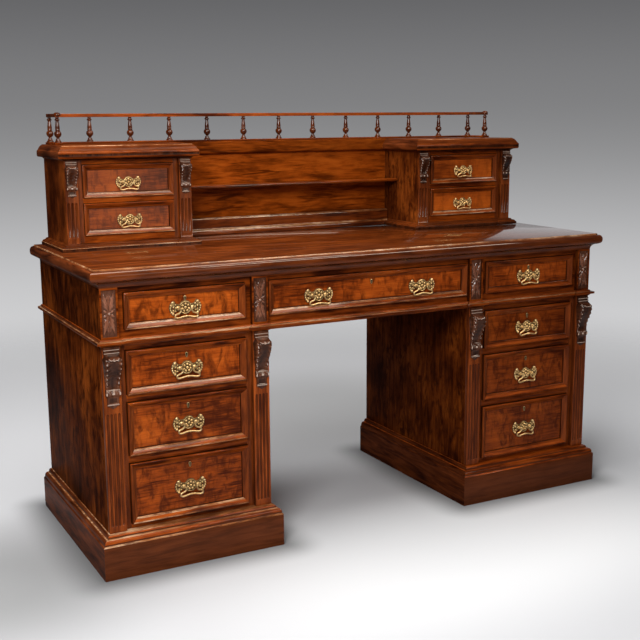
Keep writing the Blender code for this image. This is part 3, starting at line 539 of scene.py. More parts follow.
# Iron that is near black, as painted shade for the dark inside the lock
def keyhole_iron_and_shade():
    iron = Finish("keyhole_iron_and_shade", {"Metallic": 0.6})
    cloud = iron.noise(iron.place((1, 1, 1)), 0.002, 3)
    colour = iron.mix(cloud, (0.004, 0.003, 0.003, 1), (0.02, 0.014, 0.010, 1))
    return iron.use(base_color=colour, roughness=cloud * 0.2 + 0.5)


BRASS = aged_brass()
IRON_AND_SHADE = keyhole_iron_and_shade()
print("metals", BRASS.name, IRON_AND_SHADE.name)

# %% [markdown]
# ## Which way the grain runs
# A joiner turns the grain along the length of every board and moulding. The face's normal tells which way a
# moulding runs: one that faces sideways runs front to back.

# %% Grain rules
def run_of(face):
    """0 for wood that runs along X, 1 for the returns along Y."""
    return 1 if abs(face.normal.x) > abs(face.normal.y) and abs(face.normal.x) > 0.2 else 0


def framed(piece, planes):
    """Splits a case's faces along upright planes, so that its rails and stiles can have their own grain."""
    for x in planes:
        pick(piece, lambda face: True)
        bpy.ops.mesh.bisect(plane_co=(x, 0, 0), plane_no=(1, 0, 0))
    bpy.ops.object.mode_set(mode="OBJECT")


def upright(face):
    """0 for the front, 1 for a side veneer, 2 for level faces."""
    if abs(face.normal.x) > 0.7:
        return 1
    return 2 if abs(face.normal.z) > 0.7 else 0


# %% [markdown]
# ## Plinths
# On the real desk a plinth is a frame of boards under a moulding. Here it is one grown piece: a tall board
# and, above it, steps in to the pedestal. Faces at the crests of the steps take a pale wood as a painted
# highlight, and the faces that look up a lighter wood as painted light; that gives thin bright lines at no
# cost in faces. The right plinth takes darker copies, as painted shade.

# %% Grow the plinths
# How far in from the foot and how far up
PLINTH_STEPS = [(0, 0), (0, 0.0872), (0.0004, 0.0880), (0.0030, 0.0899), (0.0034, 0.0905), (0.0034, 0.0929)]
PLINTH_STEPS += quarter((0.0034, 0.0929), (0.0130, 0.1032), 8, 1)
PLINTH_STEPS += [(0.0152, 0.1035), (0.0158, 0.1040), (0.0158, 0.1061)]
PLINTH_STEPS += quarter((0.0158, 0.1061), (0.0238, 0.1125), 7, 1)
PLINTH_CRESTS = ((0.0873, 0.0904), (0.1022, 0.1040), (0.1112, 0.1130))
# The right plinth takes darker woods as painted shade, with a weaker painted light and highlight
PLINTH_WOODS = {
    "left": [PLINTH_WOOD, RETURN_WOOD, LIT_SLOPE_WOOD, HIGHLIGHT_WOOD],
    "right": [DARK_PLINTH, DARK_RETURN, RAIL_WOOD, LIT_SLOPE_WOOD],
}


def plinth_finish(face):
    if run_of(face):
        return 1
    if any(low < face.center.z < high for low, high in PLINTH_CRESTS):
        return 3
    return 2 if face.normal.z > 0.2 else 0


for side in SIDES:
    low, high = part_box(f"{side}_plinth")
    rows = [(high.x - low.x - 2 * inset, high.y - low.y - inset, z) for inset, z in PLINTH_STEPS]
    plinth = grown(f"{side}_plinth_wood", rows, ((low.x + high.x) / 2, high.y))
    smooth(plinth, 50)
    paint(plinth, PLINTH_WOODS[side], plinth_finish)
    dress(plinth, "carcass", "mahogany", f"{side}_plinth")
print("plinth faces", len(plinth.data.polygons))

# %% [markdown]
# ## Pedestals
# A pedestal is a veneered case round three drawers. Boards joined one by one would only add seams that
# nobody sees, so it is a cube with three Boolean openings and a small bevel on every edge. Two upright cuts
# part the rails between the drawers from the stiles beside them.

# %% Cut the pedestals
for side in SIDES:
    low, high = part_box(f"{side}_pedestal")
    pedestal = block(f"{side}_pedestal_wood", low, high)
    carve(pedestal, [bay(f"{side}_{level}_drawer", CASE_FRONT) for level in LEVELS[:3]])
    soften(pedestal, 0.0009)
    planes = [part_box(f"{side}_top_drawer")[i].x for i in (0, 1)]
    framed(pedestal, planes)
    paint(pedestal, [STILE_WOOD, SIDE_VENEER, RAIL_WOOD],
          lambda face: 2 if planes[0] < face.center.x < planes[1] else upright(face))
    dress(pedestal, "carcass", "mahogany", f"{side}_pedestal")
print("pedestal faces", len(pedestal.data.polygons))

# %% [markdown]
# ## Frieze
# The frieze carries the top and holds three drawers. Its moulding and the case behind it are one grown
# piece. The four blocks stand forward of it, so each is grown by itself and united with the case, and the
# moulding breaks round it. The drawers' openings and the sunk fields are cut last, out of flat faces.

# %% Grow and cut the frieze
# How far out and how far up
FRIEZE_STEPS = [(0.0027, 0.0)]
FRIEZE_STEPS += quarter((0.0027, 0.0), (0.0124, 0.0058), 7, 1)
FRIEZE_STEPS += [(0.0131, 0.0061), (0.0135, 0.0067), (0.0135, 0.0119), (0.0131, 0.0125), (0.0122, 0.0128)]
FRIEZE_STEPS += quarter((0.0122, 0.0128), (0.0035, 0.0175), 7, 0)
FRIEZE_CREST = (0.0117, 0.0150)
MOULD_SET = 0.005  # a moulding runs this far behind the one on its blocks or pilasters
BLOCK_W = 0.046
BLOCK_BACK = CASE_FRONT + 0.03
FIELD_W, FIELD_EDGE, FIELD_DEEP = BLOCK_W / 2 - 0.005, 0.005, 0.0025
BLOCK_X = [(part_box(f"{name}_pilaster")[0].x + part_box(f"{name}_pilaster")[1].x) / 2
           for name in PILASTERS]

rows = stepped(FRIEZE_STEPS, 2 * PEDESTAL_OUT, BACK - PILASTER_FRONT - MOULD_SET, FRIEZE_Z)
rows += [(2 * PEDESTAL_OUT, BACK - CASE_FRONT, z) for z in (FRIEZE_CASE_Z, FRIEZE_TOP)]
frieze = grown("frieze_wood", rows, (0, BACK))
for x in BLOCK_X:
    rows = stepped(FRIEZE_STEPS, BLOCK_W, BLOCK_BACK - PILASTER_FRONT, FRIEZE_Z)
    rows += [(BLOCK_W, BLOCK_BACK - PILASTER_FRONT, z) for z in (FRIEZE_CASE_Z, FRIEZE_TOP)]
    carve(frieze, [grown("block", rows, (x, BLOCK_BACK))], "UNION")
carve(frieze, [bay(drawer, CASE_FRONT) for drawer in LOWER_DRAWERS if "frieze" in drawer])
fields = []
for x in BLOCK_X:
    near = (x - FIELD_W, PILASTER_FRONT - 0.01, FRIEZE_CASE_Z + FIELD_EDGE)
    fields.append(block("field", near, (x + FIELD_W, PILASTER_FRONT + FIELD_DEEP, FRIEZE_TOP - FIELD_EDGE)))
carve(frieze, fields)
smooth(frieze, 40)


# A painted highlight on the crest of the moulding, and a lighter wood as painted light on its faces that look
# up
def frieze_finish(face):
    if run_of(face):
        return 4 if face.center.z > FRIEZE_CASE_Z else 1
    if FRIEZE_CREST[0] < face.center.z - FRIEZE_Z < FRIEZE_CREST[1]:
        return 3
    return 2 if face.normal.z > 0.3 and face.center.z < FRIEZE_CASE_Z else 0


paint(frieze, [RAIL_WOOD, RETURN_WOOD, LIT_SLOPE_WOOD, HIGHLIGHT_WOOD, SIDE_VENEER], frieze_finish)
dress(frieze, "carcass", "mahogany", "frieze")
print("frieze faces", len(frieze.data.polygons))

# %% [markdown]
# ## Desktop
# The top is one thick board. Its edge is a cove, a fillet and a thumb moulding, grown from below and closed by
# one flat face. The steps are shares of the overhang and of the thickness, so that one list serves the front
# and the sides. The rim of the top takes a pale wood as a painted highlight.

# %% Grow the desktop
# Shares of the overhang and of the thickness
TOP_STEPS = [(0.0, 0.0)]
TOP_STEPS += quarter((0.0, 0.0), (0.56, 0.33), 9, 1)
TOP_STEPS += [(0.70, 0.35), (0.73, 0.37)]
TOP_STEPS += quarter((0.73, 0.37), (1.0, 0.60), 8, 0)
TOP_STEPS += [(1.0, 0.66)]
TOP_STEPS += quarter((1.0, 0.66), (0.62, 0.92), 9, 1)
TOP_STEPS += [(0.56, 0.935), (0.54, 0.95), (0.54, 0.985), (0.51, 1.0)]
TOP_RIM = 0.93
low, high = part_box("desktop")
side_out, front_out, top_t = high.x - PEDESTAL_OUT, PILASTER_FRONT - low.y, high.z - low.z
rows = []
for share, up in TOP_STEPS:
    width, depth = 2 * (PEDESTAL_OUT + share * side_out), BACK - PILASTER_FRONT + share * front_out
    rows.append((width, depth, low.z + up * top_t))
desktop = grown("desktop_wood", rows, (0, BACK))
smooth(desktop, 50)
rim = low.z + TOP_RIM * top_t
paint(desktop, [TOP_WOOD, RETURN_WOOD, HIGHLIGHT_WOOD],
      lambda face: 2 if face.center.z > rim and face.normal.z < 0.9 else run_of(face))
dress(desktop, "carcass", "mahogany", "desktop")
print("desktop faces", len(desktop.data.polygons))

# %% [markdown]
# ## Flutes
# A flute's cutter is a ball drawn out into a capsule: half of its points are selected and moved up. Copies
# of it at an even pitch cut one pilaster. A real flute is cut by the same round tool from stop to stop.

# %% Flute cutters
FLUTE_R = 0.0036
FLUTE_FOOT, FLUTE_HEAD = 0.016, 0.012  # plain wood below and above the flutes
FLUTE_DEEP, FLUTE_REACH = (0.0009, 0.005), 0.019


def flutes(x, face, foot, head, count, pitch):
    """Cutters for a row of flutes, evenly spaced about x."""
    tools, radius = [], FLUTE_R
    for i in range(count):
        middle = (x + (i - (count - 1) / 2) * pitch, face - radius / 5, foot + radius)
        deselect()
        bpy.ops.mesh.primitive_uv_sphere_add(segments=16, ring_count=8, radius=radius, location=middle)
        tool = placed("flute")
        pick(tool, lambda point: point.co.z > middle[2] - radius / 10, "VERT")
        bpy.ops.transform.translate(value=(0, 0, head - foot - 2 * radius))
        tools.append(placed("flute"))
    return tools


def in_flute(face, front, x):
    """Whether a face lies in the deep of a flute, which takes a darker wood as painted shade."""
    deep = face.center.y - front
    return FLUTE_DEEP[0] < deep < FLUTE_DEEP[1] and abs(face.center.x - x) < FLUTE_REACH


# %% [markdown]
# ## Carving by formula
# A corbel's scrolls and a block's leaves flow into each other, so they are carved as a fine grid whose points
# are moved by a formula. Sculpting by hand would do, but a formula can be resized and used again. The rim of
# the grid is then extruded back into the board and closed behind. The `relief` value goes onto the points too,
# so that the material can paint shade into the hollows and a highlight onto what stands out.

# %% Relief grids
def relief(name, columns, heights, surface):
    """A carved face over shares across (-1 to 1) and the given heights, with surface -> (x, y, z, relief)."""
    rows = len(heights) - 1
    deselect()
    bpy.ops.mesh.primitive_grid_add(
        x_subdivisions=columns, y_subdivisions=rows, size=1, rotation=(math.pi / 2, 0, 0)
    )
    piece = placed(name)
    shades = piece.data.attributes.new("relief", "FLOAT", "POINT")
    for point in piece.data.vertices:
        row = round((0.5 - point.co.z) * rows)
        x, y, z, shade = surface(2 * point.co.x, heights[row])
        shades.data[point.index].value = shade
        point.co = (x, y, z)
    return piece


def backed(piece, y):
    """Extrudes the grid's rim back to a plane and closes it there."""
    only(piece)
    bpy.ops.object.mode_set(mode="EDIT")
    bpy.ops.mesh.select_mode(type="EDGE")
    bpy.ops.mesh.select_all(action="DESELECT")
    bpy.ops.mesh.select_non_manifold(extend=False)
    bpy.ops.mesh.extrude_region_move(TRANSFORM_OT_translate={"value": (0, 0.001, 0)})
    bpy.ops.transform.resize(value=(1, 0, 1), center_override=(0, y, 0))
    bpy.ops.mesh.edge_face_add()
    bpy.ops.object.mode_set(mode="OBJECT")
    outward(piece)
    smooth(piece, 50)


def even_heights(stops, spacing):
    """Heights from the first stop to the last, through every stop, no further apart than the spacing."""
    heights = [stops[0]]
    for low, high in zip(stops, stops[1:]):
        count = max(1, math.ceil((high - low) / spacing))
        heights += [low + (high - low) * i / count for i in range(1, count + 1)]
    return heights


def along(rows, value):
    """Reads a table of (place, a, b) at a place, easing from row to row."""
    for (p0, *first), (p1, *second) in zip(rows, rows[1:]):
        if value <= p1:
            share = ramp(value, p0, p1) * 0.5 + (value - p0) / (p1 - p0) * 0.5
            return [a + (b - a) * share for a, b in zip(first, second)]
    return rows[-1][1:]


def bump(distance, width):
    return math.exp(-(distance / width) ** 2)


# %% [markdown]
# ## Corbels
# Down a corbel: two fillets, a cove, two ears with a lip between them, a smooth hollow body with beads along
# its sides, a roll and a pendant. The table gives how far it stands out and how wide it is; the formula adds
# the carving. The cabinets' corbels are the same, resized. Each is a piece of its own, set on its pilaster.

# %% The corbel's formula
CORBEL = (0.045, 0.157, 0.0265)  # width, height and projection of the large corbel
CABINET_CORBEL = (0.034, 0.100, 0.018)
# Down from the top, how far out and half the width, in millimetres, for the large corbel
CORBEL_ROWS = [
    (0, 4.4, 20.4), (4.8, 4.4, 20.4), (5.4, 6.2, 21), (9, 6.2, 21), (9.6, 4.6, 19.8), (12.2, 4.8, 19.6),
    (12.9, 7.6, 20.6), (16.6, 7.8, 20.6), (17.2, 7.4, 19), (19, 11, 18.4), (21.5, 17.5, 18.4),
    (24, 22.6, 19.2), (26, 25, 20.8), (28.5, 26.4, 22.2), (32, 26.5, 22.5), (39, 26.3, 22.3),
    (47, 25, 21.8), (57, 21.6, 21), (66, 16.6, 20.4), (75, 11, 19.6), (85, 6.8, 18.8), (96, 4.6, 18),
    (106, 4.2, 17.8), (110, 7, 18.8), (114, 9.4, 19.4), (120, 9.4, 19.4), (124.5, 5.8, 18),
    (127, 3.8, 14.6), (143, 3.4, 14.6), (144.4, 5, 15.8), (147, 5, 15.8), (148.4, 2.8, 13.5),
    (152, 2.4, 7.5), (157, 0.4, 1.2),
]
BEADS = (40, 53, 66, 79, 92)
FILLETS = (7.2, 14.8, 145.7)
BEAD_EDGE, BODY_EDGE = 0.80, 0.66


def corbel_surface(x, face, top, width, height, deep):
    """The carved face of one corbel whose table is resized to a width, a height and a projection."""
    wide, tall, far = (size / large for size, large in zip((width, height, deep), CORBEL))

    def surface(u, down):
        out, half = along(CORBEL_ROWS, down)
        edge = abs(u)
        nose = ramp(down, 14, 26) * (1 - ramp(down, 66, 92))
        body = ramp(down, 33, 39) * (1 - ramp(down, 101, 108))
        rounding = 0.22 * nose * out * ramp(edge, 0.50, 1.05)
        # the hollow body and its rim, then the beads and the slanting cuts between them
        cut = -2.2 * body * (1 - min(edge / BODY_EDGE, 1) ** 2) + 0.9 * body * bump(edge - 0.84, 0.09)
        for bead in BEADS:
            cut += 3.4 * body * bump(math.hypot((edge - BEAD_EDGE) * half, down - bead), 3.0)
            slant = down - bead - 6 + 12 * (BEAD_EDGE - edge)
            cut -= 1.5 * body * bump(slant, 1.3) * ramp(edge, 0.30, 0.50)
        # the scalloped lip and the ears
        lip = 26 + 4 * (1 - (edge / BODY_EDGE) ** 2) + 0.8 * math.cos(edge * 16)
        cut += 2.4 * bump(down - lip, 1.7) * (1 - ramp(edge, 0.60, 0.72)) - 1.7 * bump(down - lip - 3.6, 1.5)
        ear = math.hypot((edge - 0.82) * half, down - 29)
        cut += 2.4 * bump(ear, 3.8) - 2.0 * bump(ear - 3.6, 0.9)
        # the roll with its ends and its button, the sunk field below it, and the rounded sides
        roll = bump(down - 117, 5)
        cut += 1.8 * roll * bump(edge - 0.88, 0.10) - 1.6 * roll * bump(edge - 0.66, 0.06)
        cut += 1.5 * bump(math.hypot(edge * half, down - 116), 3.2) - 1.4 * roll * bump(edge - 0.28, 0.05)
        cut -= 1.4 * ramp(down, 128, 130) * (1 - ramp(down, 140, 142.5)) * (1 - ramp(edge, 0.55, 0.72))
        cut -= 1.5 * ramp(edge, 0.92, 1.0)
        # Painted highlights: the roll and the fillets are given extra relief value, so the wood is painted
        # pale there.
        fillets = sum(bump(down - middle, 1.6) for middle in FILLETS)
        shade = 0.45 + (0.24 - 0.11 * body) * cut + 0.38 * roll + 0.60 * fillets
        stand = max(out + cut - rounding, 0.15)
        return x + u * half * wide / 1000, face - stand * far / 1000, top - down * tall / 1000, shade

    return surface


def corbel(name, x, face, top, sizes):
    heights = even_heights([row[0] for row in CORBEL_ROWS], 1.4)
    piece = relief(name, 48, heights, corbel_surface(x, face, top, *sizes))
    backed(piece, face + 0.004)
    paint(piece, [CARVED_WOOD])
    dress(piece, "carcass", "mahogany")
    return piece


# %% [markdown]
# ## Lower pilasters
# Each pilaster is a board with its edges softened and four flutes cut, with a corbel at its head. It is
# softened before the flutes are cut, so that their arrises stay crisp.

# %% Make the lower pilasters
for name, x in zip(PILASTERS, BLOCK_X):
    low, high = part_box(f"{name}_pilaster")
    pilaster = block(f"{name}_pilaster_wood", (low.x, PILASTER_FRONT, low.z), high)
    soften(pilaster, 0.0012)
    carve(pilaster, flutes(x, PILASTER_FRONT, low.z + FLUTE_FOOT, high.z - CORBEL[1] - FLUTE_HEAD, 4, 0.0098))
    smooth(pilaster, 30)
    # Painted light on the left inner pilaster; painted shade in the flutes and on the sides
    front_wood = LIT_PILASTER if name == "left_inner" else PILASTER_WOOD
    paint(pilaster, [front_wood, FLUTE_WOOD],
          lambda face: 1 if in_flute(face, PILASTER_FRONT, x) or abs(face.normal.x) > 0.9 else 0)
    dress(pilaster, "carcass", "mahogany", f"{name}_pilaster")
    scroll = corbel(f"{name}_corbel", x, PILASTER_FRONT, high.z - SEAM, CORBEL)
print("corbel faces", len(scroll.data.polygons))

# %% [markdown]
# ## Leaves in the blocks
# A leaf is a dome between its root and its tip with a vein down the middle. In each block four long leaves
# cross as an X round a boss, with smaller leaves between and beside them. One quarter is listed and mirrored,
# and where leaves cross, the highest at a point wins, as a carver would leave it.

# %% Carve the blocks
def leaf(x, z, root, turn, length, half, high):
    """How high a leaf stands at a point; turn is its lean from straight up."""
    dx, dz = x - root[0], z - root[1]
    share = (dx * math.sin(turn) + dz * math.cos(turn)) / length
    across = abs(dx * math.cos(turn) - dz * math.sin(turn))
    if not 0 < share < 1:
        return 0
    reach = half * math.sin(math.pi * share ** 0.8)
    if across >= reach:
        return 0
    dome = math.sqrt(1 - (across / reach) ** 2)
    return high * dome * (0.55 + 0.45 * share) - high * 0.4 * bump(across, 0.5)


# Root, direction, length, half the width and height of the leaves in one quarter, in millimetres
QUARTER_LEAVES = [
    ((1.0, 2.5), (10, 38), 52, 4.6, 4.8), ((3.5, 2), (12, 8), 13, 3.0, 3.6),
    ((5.0, 13), (9, 10), 12, 2.7, 3.4), ((8.0, 25), (7, 10), 11, 2.5, 3.2),
    ((0.3, 19), (-0.3, 20), 25, 2.9, 3.6), ((5.5, 33), (-4.5, 15), 16, 2.2, 3.0),
]
LEAVES = []
for sx in (1, -1):
    for sz in (1, -1):
        for (x, z), (dx, dz), length, half, high in QUARTER_LEAVES:
            LEAVES.append(((sx * x, sz * z), math.atan2(sx * dx, sz * dz), length, half, high))


def block_surface(x, middle, half_w):
    def surface(u, up):
        across = u * half_w * 1000
        high = max(leaf(across, up, *shape) for shape in LEAVES)
        from_boss = math.hypot(across, up)
        high = max(high, 5.0 * math.sqrt(max(0, 1 - (from_boss / 4.6) ** 2)))
        stippled = 0.12 * math.sin(across * 3.1) * math.sin(up * 2.7)
        y = PILASTER_FRONT + FIELD_DEEP - 0.00015 - max(high, 0.1 + stippled) / 1000
        return x + u * half_w, y, middle + up / 1000, 0.08 + 0.20 * high

    return surface


middle = (FRIEZE_CASE_Z + FRIEZE_TOP) / 2
half_h = (FRIEZE_TOP - FRIEZE_CASE_Z) * 500 - FIELD_EDGE * 1000
heights = even_heights([-half_h, half_h], 1.1)[::-1]
for i, x in enumerate(BLOCK_X):
    leaves = relief(f"block_leaves_{i + 1}", 36, heights, block_surface(x, middle, FIELD_W - 0.0001))
    backed(leaves, PILASTER_FRONT + FIELD_DEEP + 0.002)
    paint(leaves, [BLOCK_WOOD])
    dress(leaves, "carcass", "mahogany")
print("block faces", len(leaves.data.polygons))

# %% [markdown]
# ## Cabinets
# Two small cases stand on the top, and they are made like the frieze: a case grown with its base moulding,
# two fluted pilasters united with its front, and two drawer openings. On the inner side the moulding stops
# at the ledge, so that corner is cut away.

# %% Grow and cut the cabinets
BASE_STEPS = [(0.0190, 0.0), (0.0190, 0.0076), (0.0186, 0.0083), (0.0163, 0.0090)]
BASE_STEPS += quarter((0.0163, 0.0090), (0.0076, 0.0144), 7, 1)
BASE_STEPS += quarter((0.0076, 0.0144), (0.0004, 0.0189), 7, 1)
BASE_H, BASE_FILLET, BASE_CREST = 0.0195, 0.0077, 0.0092
CABINET_PILASTER_W = 0.036
CABINET_X, CABINET_W = (CABINET_IN + CABINET_OUT) / 2, CABINET_OUT - CABINET_IN
BASE_BACK = CABINET_FRONT + 0.02
LEDGE_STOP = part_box("back_ledge")[0].y - SEAM
# The right cabinet takes a darker veneer and no pale crest, as painted shade
CASE_WOODS = {"left": (CASE_VENEER, HIGHLIGHT_WOOD), "right": (DARK_CASE, CORNICE_WOOD)}


def inner_corner(sign, front, z0, z1):
    """A cutter beside a cabinet's inner face, from a plane to behind the back."""
    x0, x1 = sorted((sign * CABINET_IN, sign * (CABINET_IN - CUT_PAST)))
    return block("corner", (x0, front, z0 - 0.01), (x1, BACK + CUT_PAST, z1 + 0.01))


for side, sign in SIDES.items():
    rows = stepped(BASE_STEPS, CABINET_W, BACK - CABINET_PILASTER_FRONT - MOULD_SET, CABINET_Z)
    rows += [(CABINET_W, BACK - CABINET_FRONT, z) for z in (CABINET_Z + BASE_H, CABINET_TOP)]
    cabinet = grown(f"{side}_cabinet_wood", rows, (sign * CABINET_X, BACK))
    flute_x = []
    for end, edge, inward in (("inner", CABINET_IN, 1), ("outer", CABINET_OUT, -1)):
        x = sign * (edge + inward * CABINET_PILASTER_W / 2)
        flute_x.append(x)
        depth = BASE_BACK - CABINET_PILASTER_FRONT
        rows = stepped(BASE_STEPS, CABINET_PILASTER_W, depth, CABINET_Z)
        rows += [(CABINET_PILASTER_W, depth, z) for z in (CABINET_Z + BASE_H, CABINET_TOP)]
        carve(cabinet, [grown("pilaster", rows, (x, BASE_BACK))], "UNION")
        foot, head = CABINET_Z + BASE_H + FLUTE_FOOT, CABINET_TOP - CABINET_CORBEL[1] - FLUTE_HEAD
        carve(cabinet, flutes(x, CABINET_PILASTER_FRONT, foot, head, 3, 0.0105))
        name = f"{side}_cabinet_corbel_{end}"
        corbel(name, x, CABINET_PILASTER_FRONT, CABINET_TOP - SEAM, CABINET_CORBEL)
    carve(cabinet, [bay(f"{side}_cabinet_{level}_drawer", CABINET_FRONT) for level in ("lower", "upper")])
    carve(cabinet, [inner_corner(sign, LEDGE_STOP, CABINET_Z, CABINET_Z + 0.02)])
    smooth(cabinet, 40)
    planes = [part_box(f"{side}_cabinet_upper_drawer")[i].x for i in (0, 1)]
    framed(cabinet, planes)

    # Painted shade in the flutes and on the lowest fillet of the base, and a painted highlight on the base's
    # crest
    def case_finish(face):
        up = face.center.z - CABINET_Z
        if up > 0.03 and any(in_flute(face, CABINET_PILASTER_FRONT, x) for x in flute_x):
            return 3 if abs(face.normal.x) < 0.98 else 1
        if up < BASE_H and face.normal.y < 0.9:
            return 5 if up < BASE_FILLET else 6 if up < BASE_CREST else 4
        return 2 if planes[0] < face.center.x < planes[1] else upright(face)

    case, crest = CASE_WOODS[side]
    paint(cabinet, [STILE_WOOD, case, CASE_RAIL, FLUTE_WOOD, CORNICE_WOOD, SHADOW_WOOD, crest], case_finish)
    dress(cabinet, "carcass", "mahogany", f"{side}_cabinet")
print("cabinet faces", len(cabinet.data.polygons))

# %% [markdown]
# ## Cornices
# A cornice caps each cabinet. It is grown upwards: a small cove, a bold round, and a long slope in to a flat
# top. The cove and the upright face of the round take painted shade, the curves below and above that face a
# lighter wood as painted light, and the upper rim a pale wood as a painted highlight. The corner behind the
# inner end is cut away where the back board's rail comes in.

# %% Grow the cornices
CORNICE_STEPS = [(0.0020, 0.0)]
CORNICE_STEPS += quarter((0.0020, 0.0), (0.0152, 0.0050), 7, 1)
CORNICE_STEPS += quarter((0.0160, 0.0053), (0.0195, 0.0108), 7, 0)
CORNICE_STEPS += [(0.0195, 0.0178)]
CORNICE_STEPS += quarter((0.0195, 0.0178), (0.0168, 0.0236), 6, 1)
CORNICE_STEPS += [(0.0150, 0.0268), (0.0132, 0.0299), (0.0113, 0.0328), (0.0092, 0.0351), (0.0070, 0.0368)]
CORNICE_STEPS += [(0.0050, 0.0378), (0.0044, 0.0381), (0.0041, 0.0390), (0.0036, 0.0394)]
COVE_TOP, ROUND_LOW, ROUND_TOP, SLOPE_LOW = 0.0053, 0.0108, 0.0178, 0.0236
CORNICE_CREST = (0.0378, 0.0393)
RAIL_T = 0.015
RAIL_STOP = PANEL_FRONT - RAIL_T - SEAM


# Painted shade on the cove and the upright face of the round, painted light on the curves, a painted highlight
# on the rim
def cornice_finish(face):
    up = face.center.z - CABINET_TOP
    if run_of(face):
        return 1
    if up < COVE_TOP or ROUND_LOW < up < ROUND_TOP:
        return 3
    if up < SLOPE_LOW:
        return 2
    return 4 if CORNICE_CREST[0] < up < CORNICE_CREST[1] else 0


for side, sign in SIDES.items():
    low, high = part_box(f"{side}_cornice")
    rows = stepped(CORNICE_STEPS, CABINET_W, BACK - CABINET_PILASTER_FRONT, low.z)
    cornice = grown(f"{side}_cornice_wood", rows, (sign * CABINET_X, BACK))
    carve(cornice, [inner_corner(sign, RAIL_STOP, low.z, high.z)])
    smooth(cornice, 45)
    paint(cornice, [CORNICE_WOOD, RETURN_WOOD, RAIL_WOOD, SHADOW_WOOD, HIGHLIGHT_WOOD], cornice_finish)
    dress(cornice, "carcass", "mahogany", f"{side}_cornice")
print("cornice faces", len(cornice.data.polygons))

# %% [markdown]
# ## Boards between the cabinets
# The back board, its shelf and its ledge have simple outlines, so they are copies of the frame's solids. The
# loose triangles are merged first, then flat faces are made whole again and the edges rounded. Building such
# boards anew would only repeat the frame.

# %% Round the boards
def refined(node, name, width):
    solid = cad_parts[node]
    piece = linked(name, solid.data.copy())
    piece.matrix_world = solid.matrix_world
    only(piece)
    placed(name)
    outward(piece)
    edit_all(piece)
    bpy.ops.mesh.dissolve_limited(angle_limit=math.radians(0.5))
    bpy.ops.object.mode_set(mode="OBJECT")
    soften(piece, width, 4, 30)
    return piece


BOARDS = {  # wood, and how far the edges are rounded
    "back_board": (BOARD_WOOD, 0.001), "shelf": (LEDGE_WOOD, 0.0025), "back_ledge": (LEDGE_WOOD, 0.0025),
}
RAIL_H = 0.039
rail_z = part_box("back_board")[1].z - RAIL_H


def board_part(face, ledge):
    """0 for the board, 1 for the rail along its top, 2 for the rounded front edges of the ledge, which take a
    painted highlight.
    """
    if face.center.z > rail_z:
        return 1
    return 2 if ledge and face.normal.y < -0.3 and face.normal.z > 0.3 else 0


for node, (finish, width) in BOARDS.items():
    board = refined(node, f"{node}_wood", width)
    paint(board, [finish, TOP_RAIL_WOOD, HIGHLIGHT_WOOD], lambda face: board_part(face, node == "back_ledge"))
    dress(board, "carcass", "mahogany", node)
print("boards", len(BOARDS), "the last of", len(board.data.polygons), "faces")

# %% [markdown]
# ## Gallery
# A low fence of turned spindles keeps papers from falling off the back. A spindle is grown with a round
# outline, so the rows are read as a turner reads a drawing: diameter and height. Spinning a profile would do
# as well. Fifteen spindles stand on a strip, and a rail with two balls lies on them.

# %% Turn the spindles
TURNED = [
    (19.4, -1.0), (19.4, 1.6), (18.6, 3.0), (15.4, 4.2), (13.2, 6.0), (12.6, 8.2), (12.0, 9.6),
    (8.4, 10.8), (7.4, 12.2), (8.2, 13.6), (12.0, 15.4), (16.4, 17.8), (19.2, 20.8), (20.2, 23.8),
    (19.6, 26.6), (17.4, 29.0), (14.2, 30.6), (11.4, 31.4), (11.0, 32.2), (13.4, 33.2), (13.8, 34.4),
    (13.2, 35.6), (12.2, 37.0), (12.8, 39.4), (12.4, 43.0), (11.2, 48.0), (9.8, 53.0), (8.6, 57.6),
    (8.4, 59.4), (12.4, 60.4), (13.6, 62.0), (13.0, 63.6), (9.4, 64.8), (9.0, 66.4), (10.0, 68.9),
]
strip_low, strip_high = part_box("gallery_spindles")
STRIP_HALF, STRIP_T = 0.011, 0.0055
STRIP_TOP = strip_low.z + STRIP_T
GALLERY_X = strip_high.x - STRIP_HALF
GALLERY_Y = strip_high.y - STRIP_HALF
RETURN_Y = strip_low.y + STRIP_HALF
ROW = 12  # spindles along the back, after the one at the left corner
FIRST_GAP, LAST_GAP = 0.1146, 0.0075  # from the corners to the ends of the row
FIRST_SPINDLE, LAST_SPINDLE = FIRST_GAP - GALLERY_X, GALLERY_X - LAST_GAP
places = [(-GALLERY_X, GALLERY_Y)]
places += [(FIRST_SPINDLE + (LAST_SPINDLE - FIRST_SPINDLE) * i / (ROW - 1), GALLERY_Y) for i in range(ROW)]
places += [(sign * GALLERY_X, RETURN_Y) for sign in SIDES.values()]


def turned(name, table, centre, z):
    """A lathe's work from rows of (diameter, height) in millimetres."""
    return grown(name, [(across / 1000, across / 1000, z + up / 1000) for across, up in table], centre, 24)


first = turned("spindle", TURNED, places[0], STRIP_TOP)
spindles = [first]
for x, y in places[1:]:
    spindles.append(copied(first, "spindle", (x - places[0][0], y - places[0][1], 0)))


def gallery_run(name, half, z0, z1, front):
    """Three blocks united into the strip or the rail, which returns forward at both ends."""
    run = block(name, (-GALLERY_X - half, GALLERY_Y - half, z0), (GALLERY_X + half, GALLERY_Y + half, z1))
    ends = []
    for sign in SIDES.values():
        x = sign * GALLERY_X
        ends.append(block("end", (x - half, front, z0), (x + half, GALLERY_Y + half, z1)))
    carve(run, ends, "UNION")
    return run


strip = gallery_run("strip", STRIP_HALF, strip_low.z, STRIP_TOP, strip_low.y)
soften(strip, 0.0014, 3)
paint(strip, [RAIL_WOOD])
for spindle in spindles:
    paint(spindle, [TURNED_WOOD])
gallery = joined("gallery_spindles_wood", [strip, *spindles])
smooth(gallery, 40)
dress(gallery, "carcass", "mahogany", "gallery_spindles")
print("gallery faces", len(gallery.data.polygons), "in", len(places), "spindles and a strip")

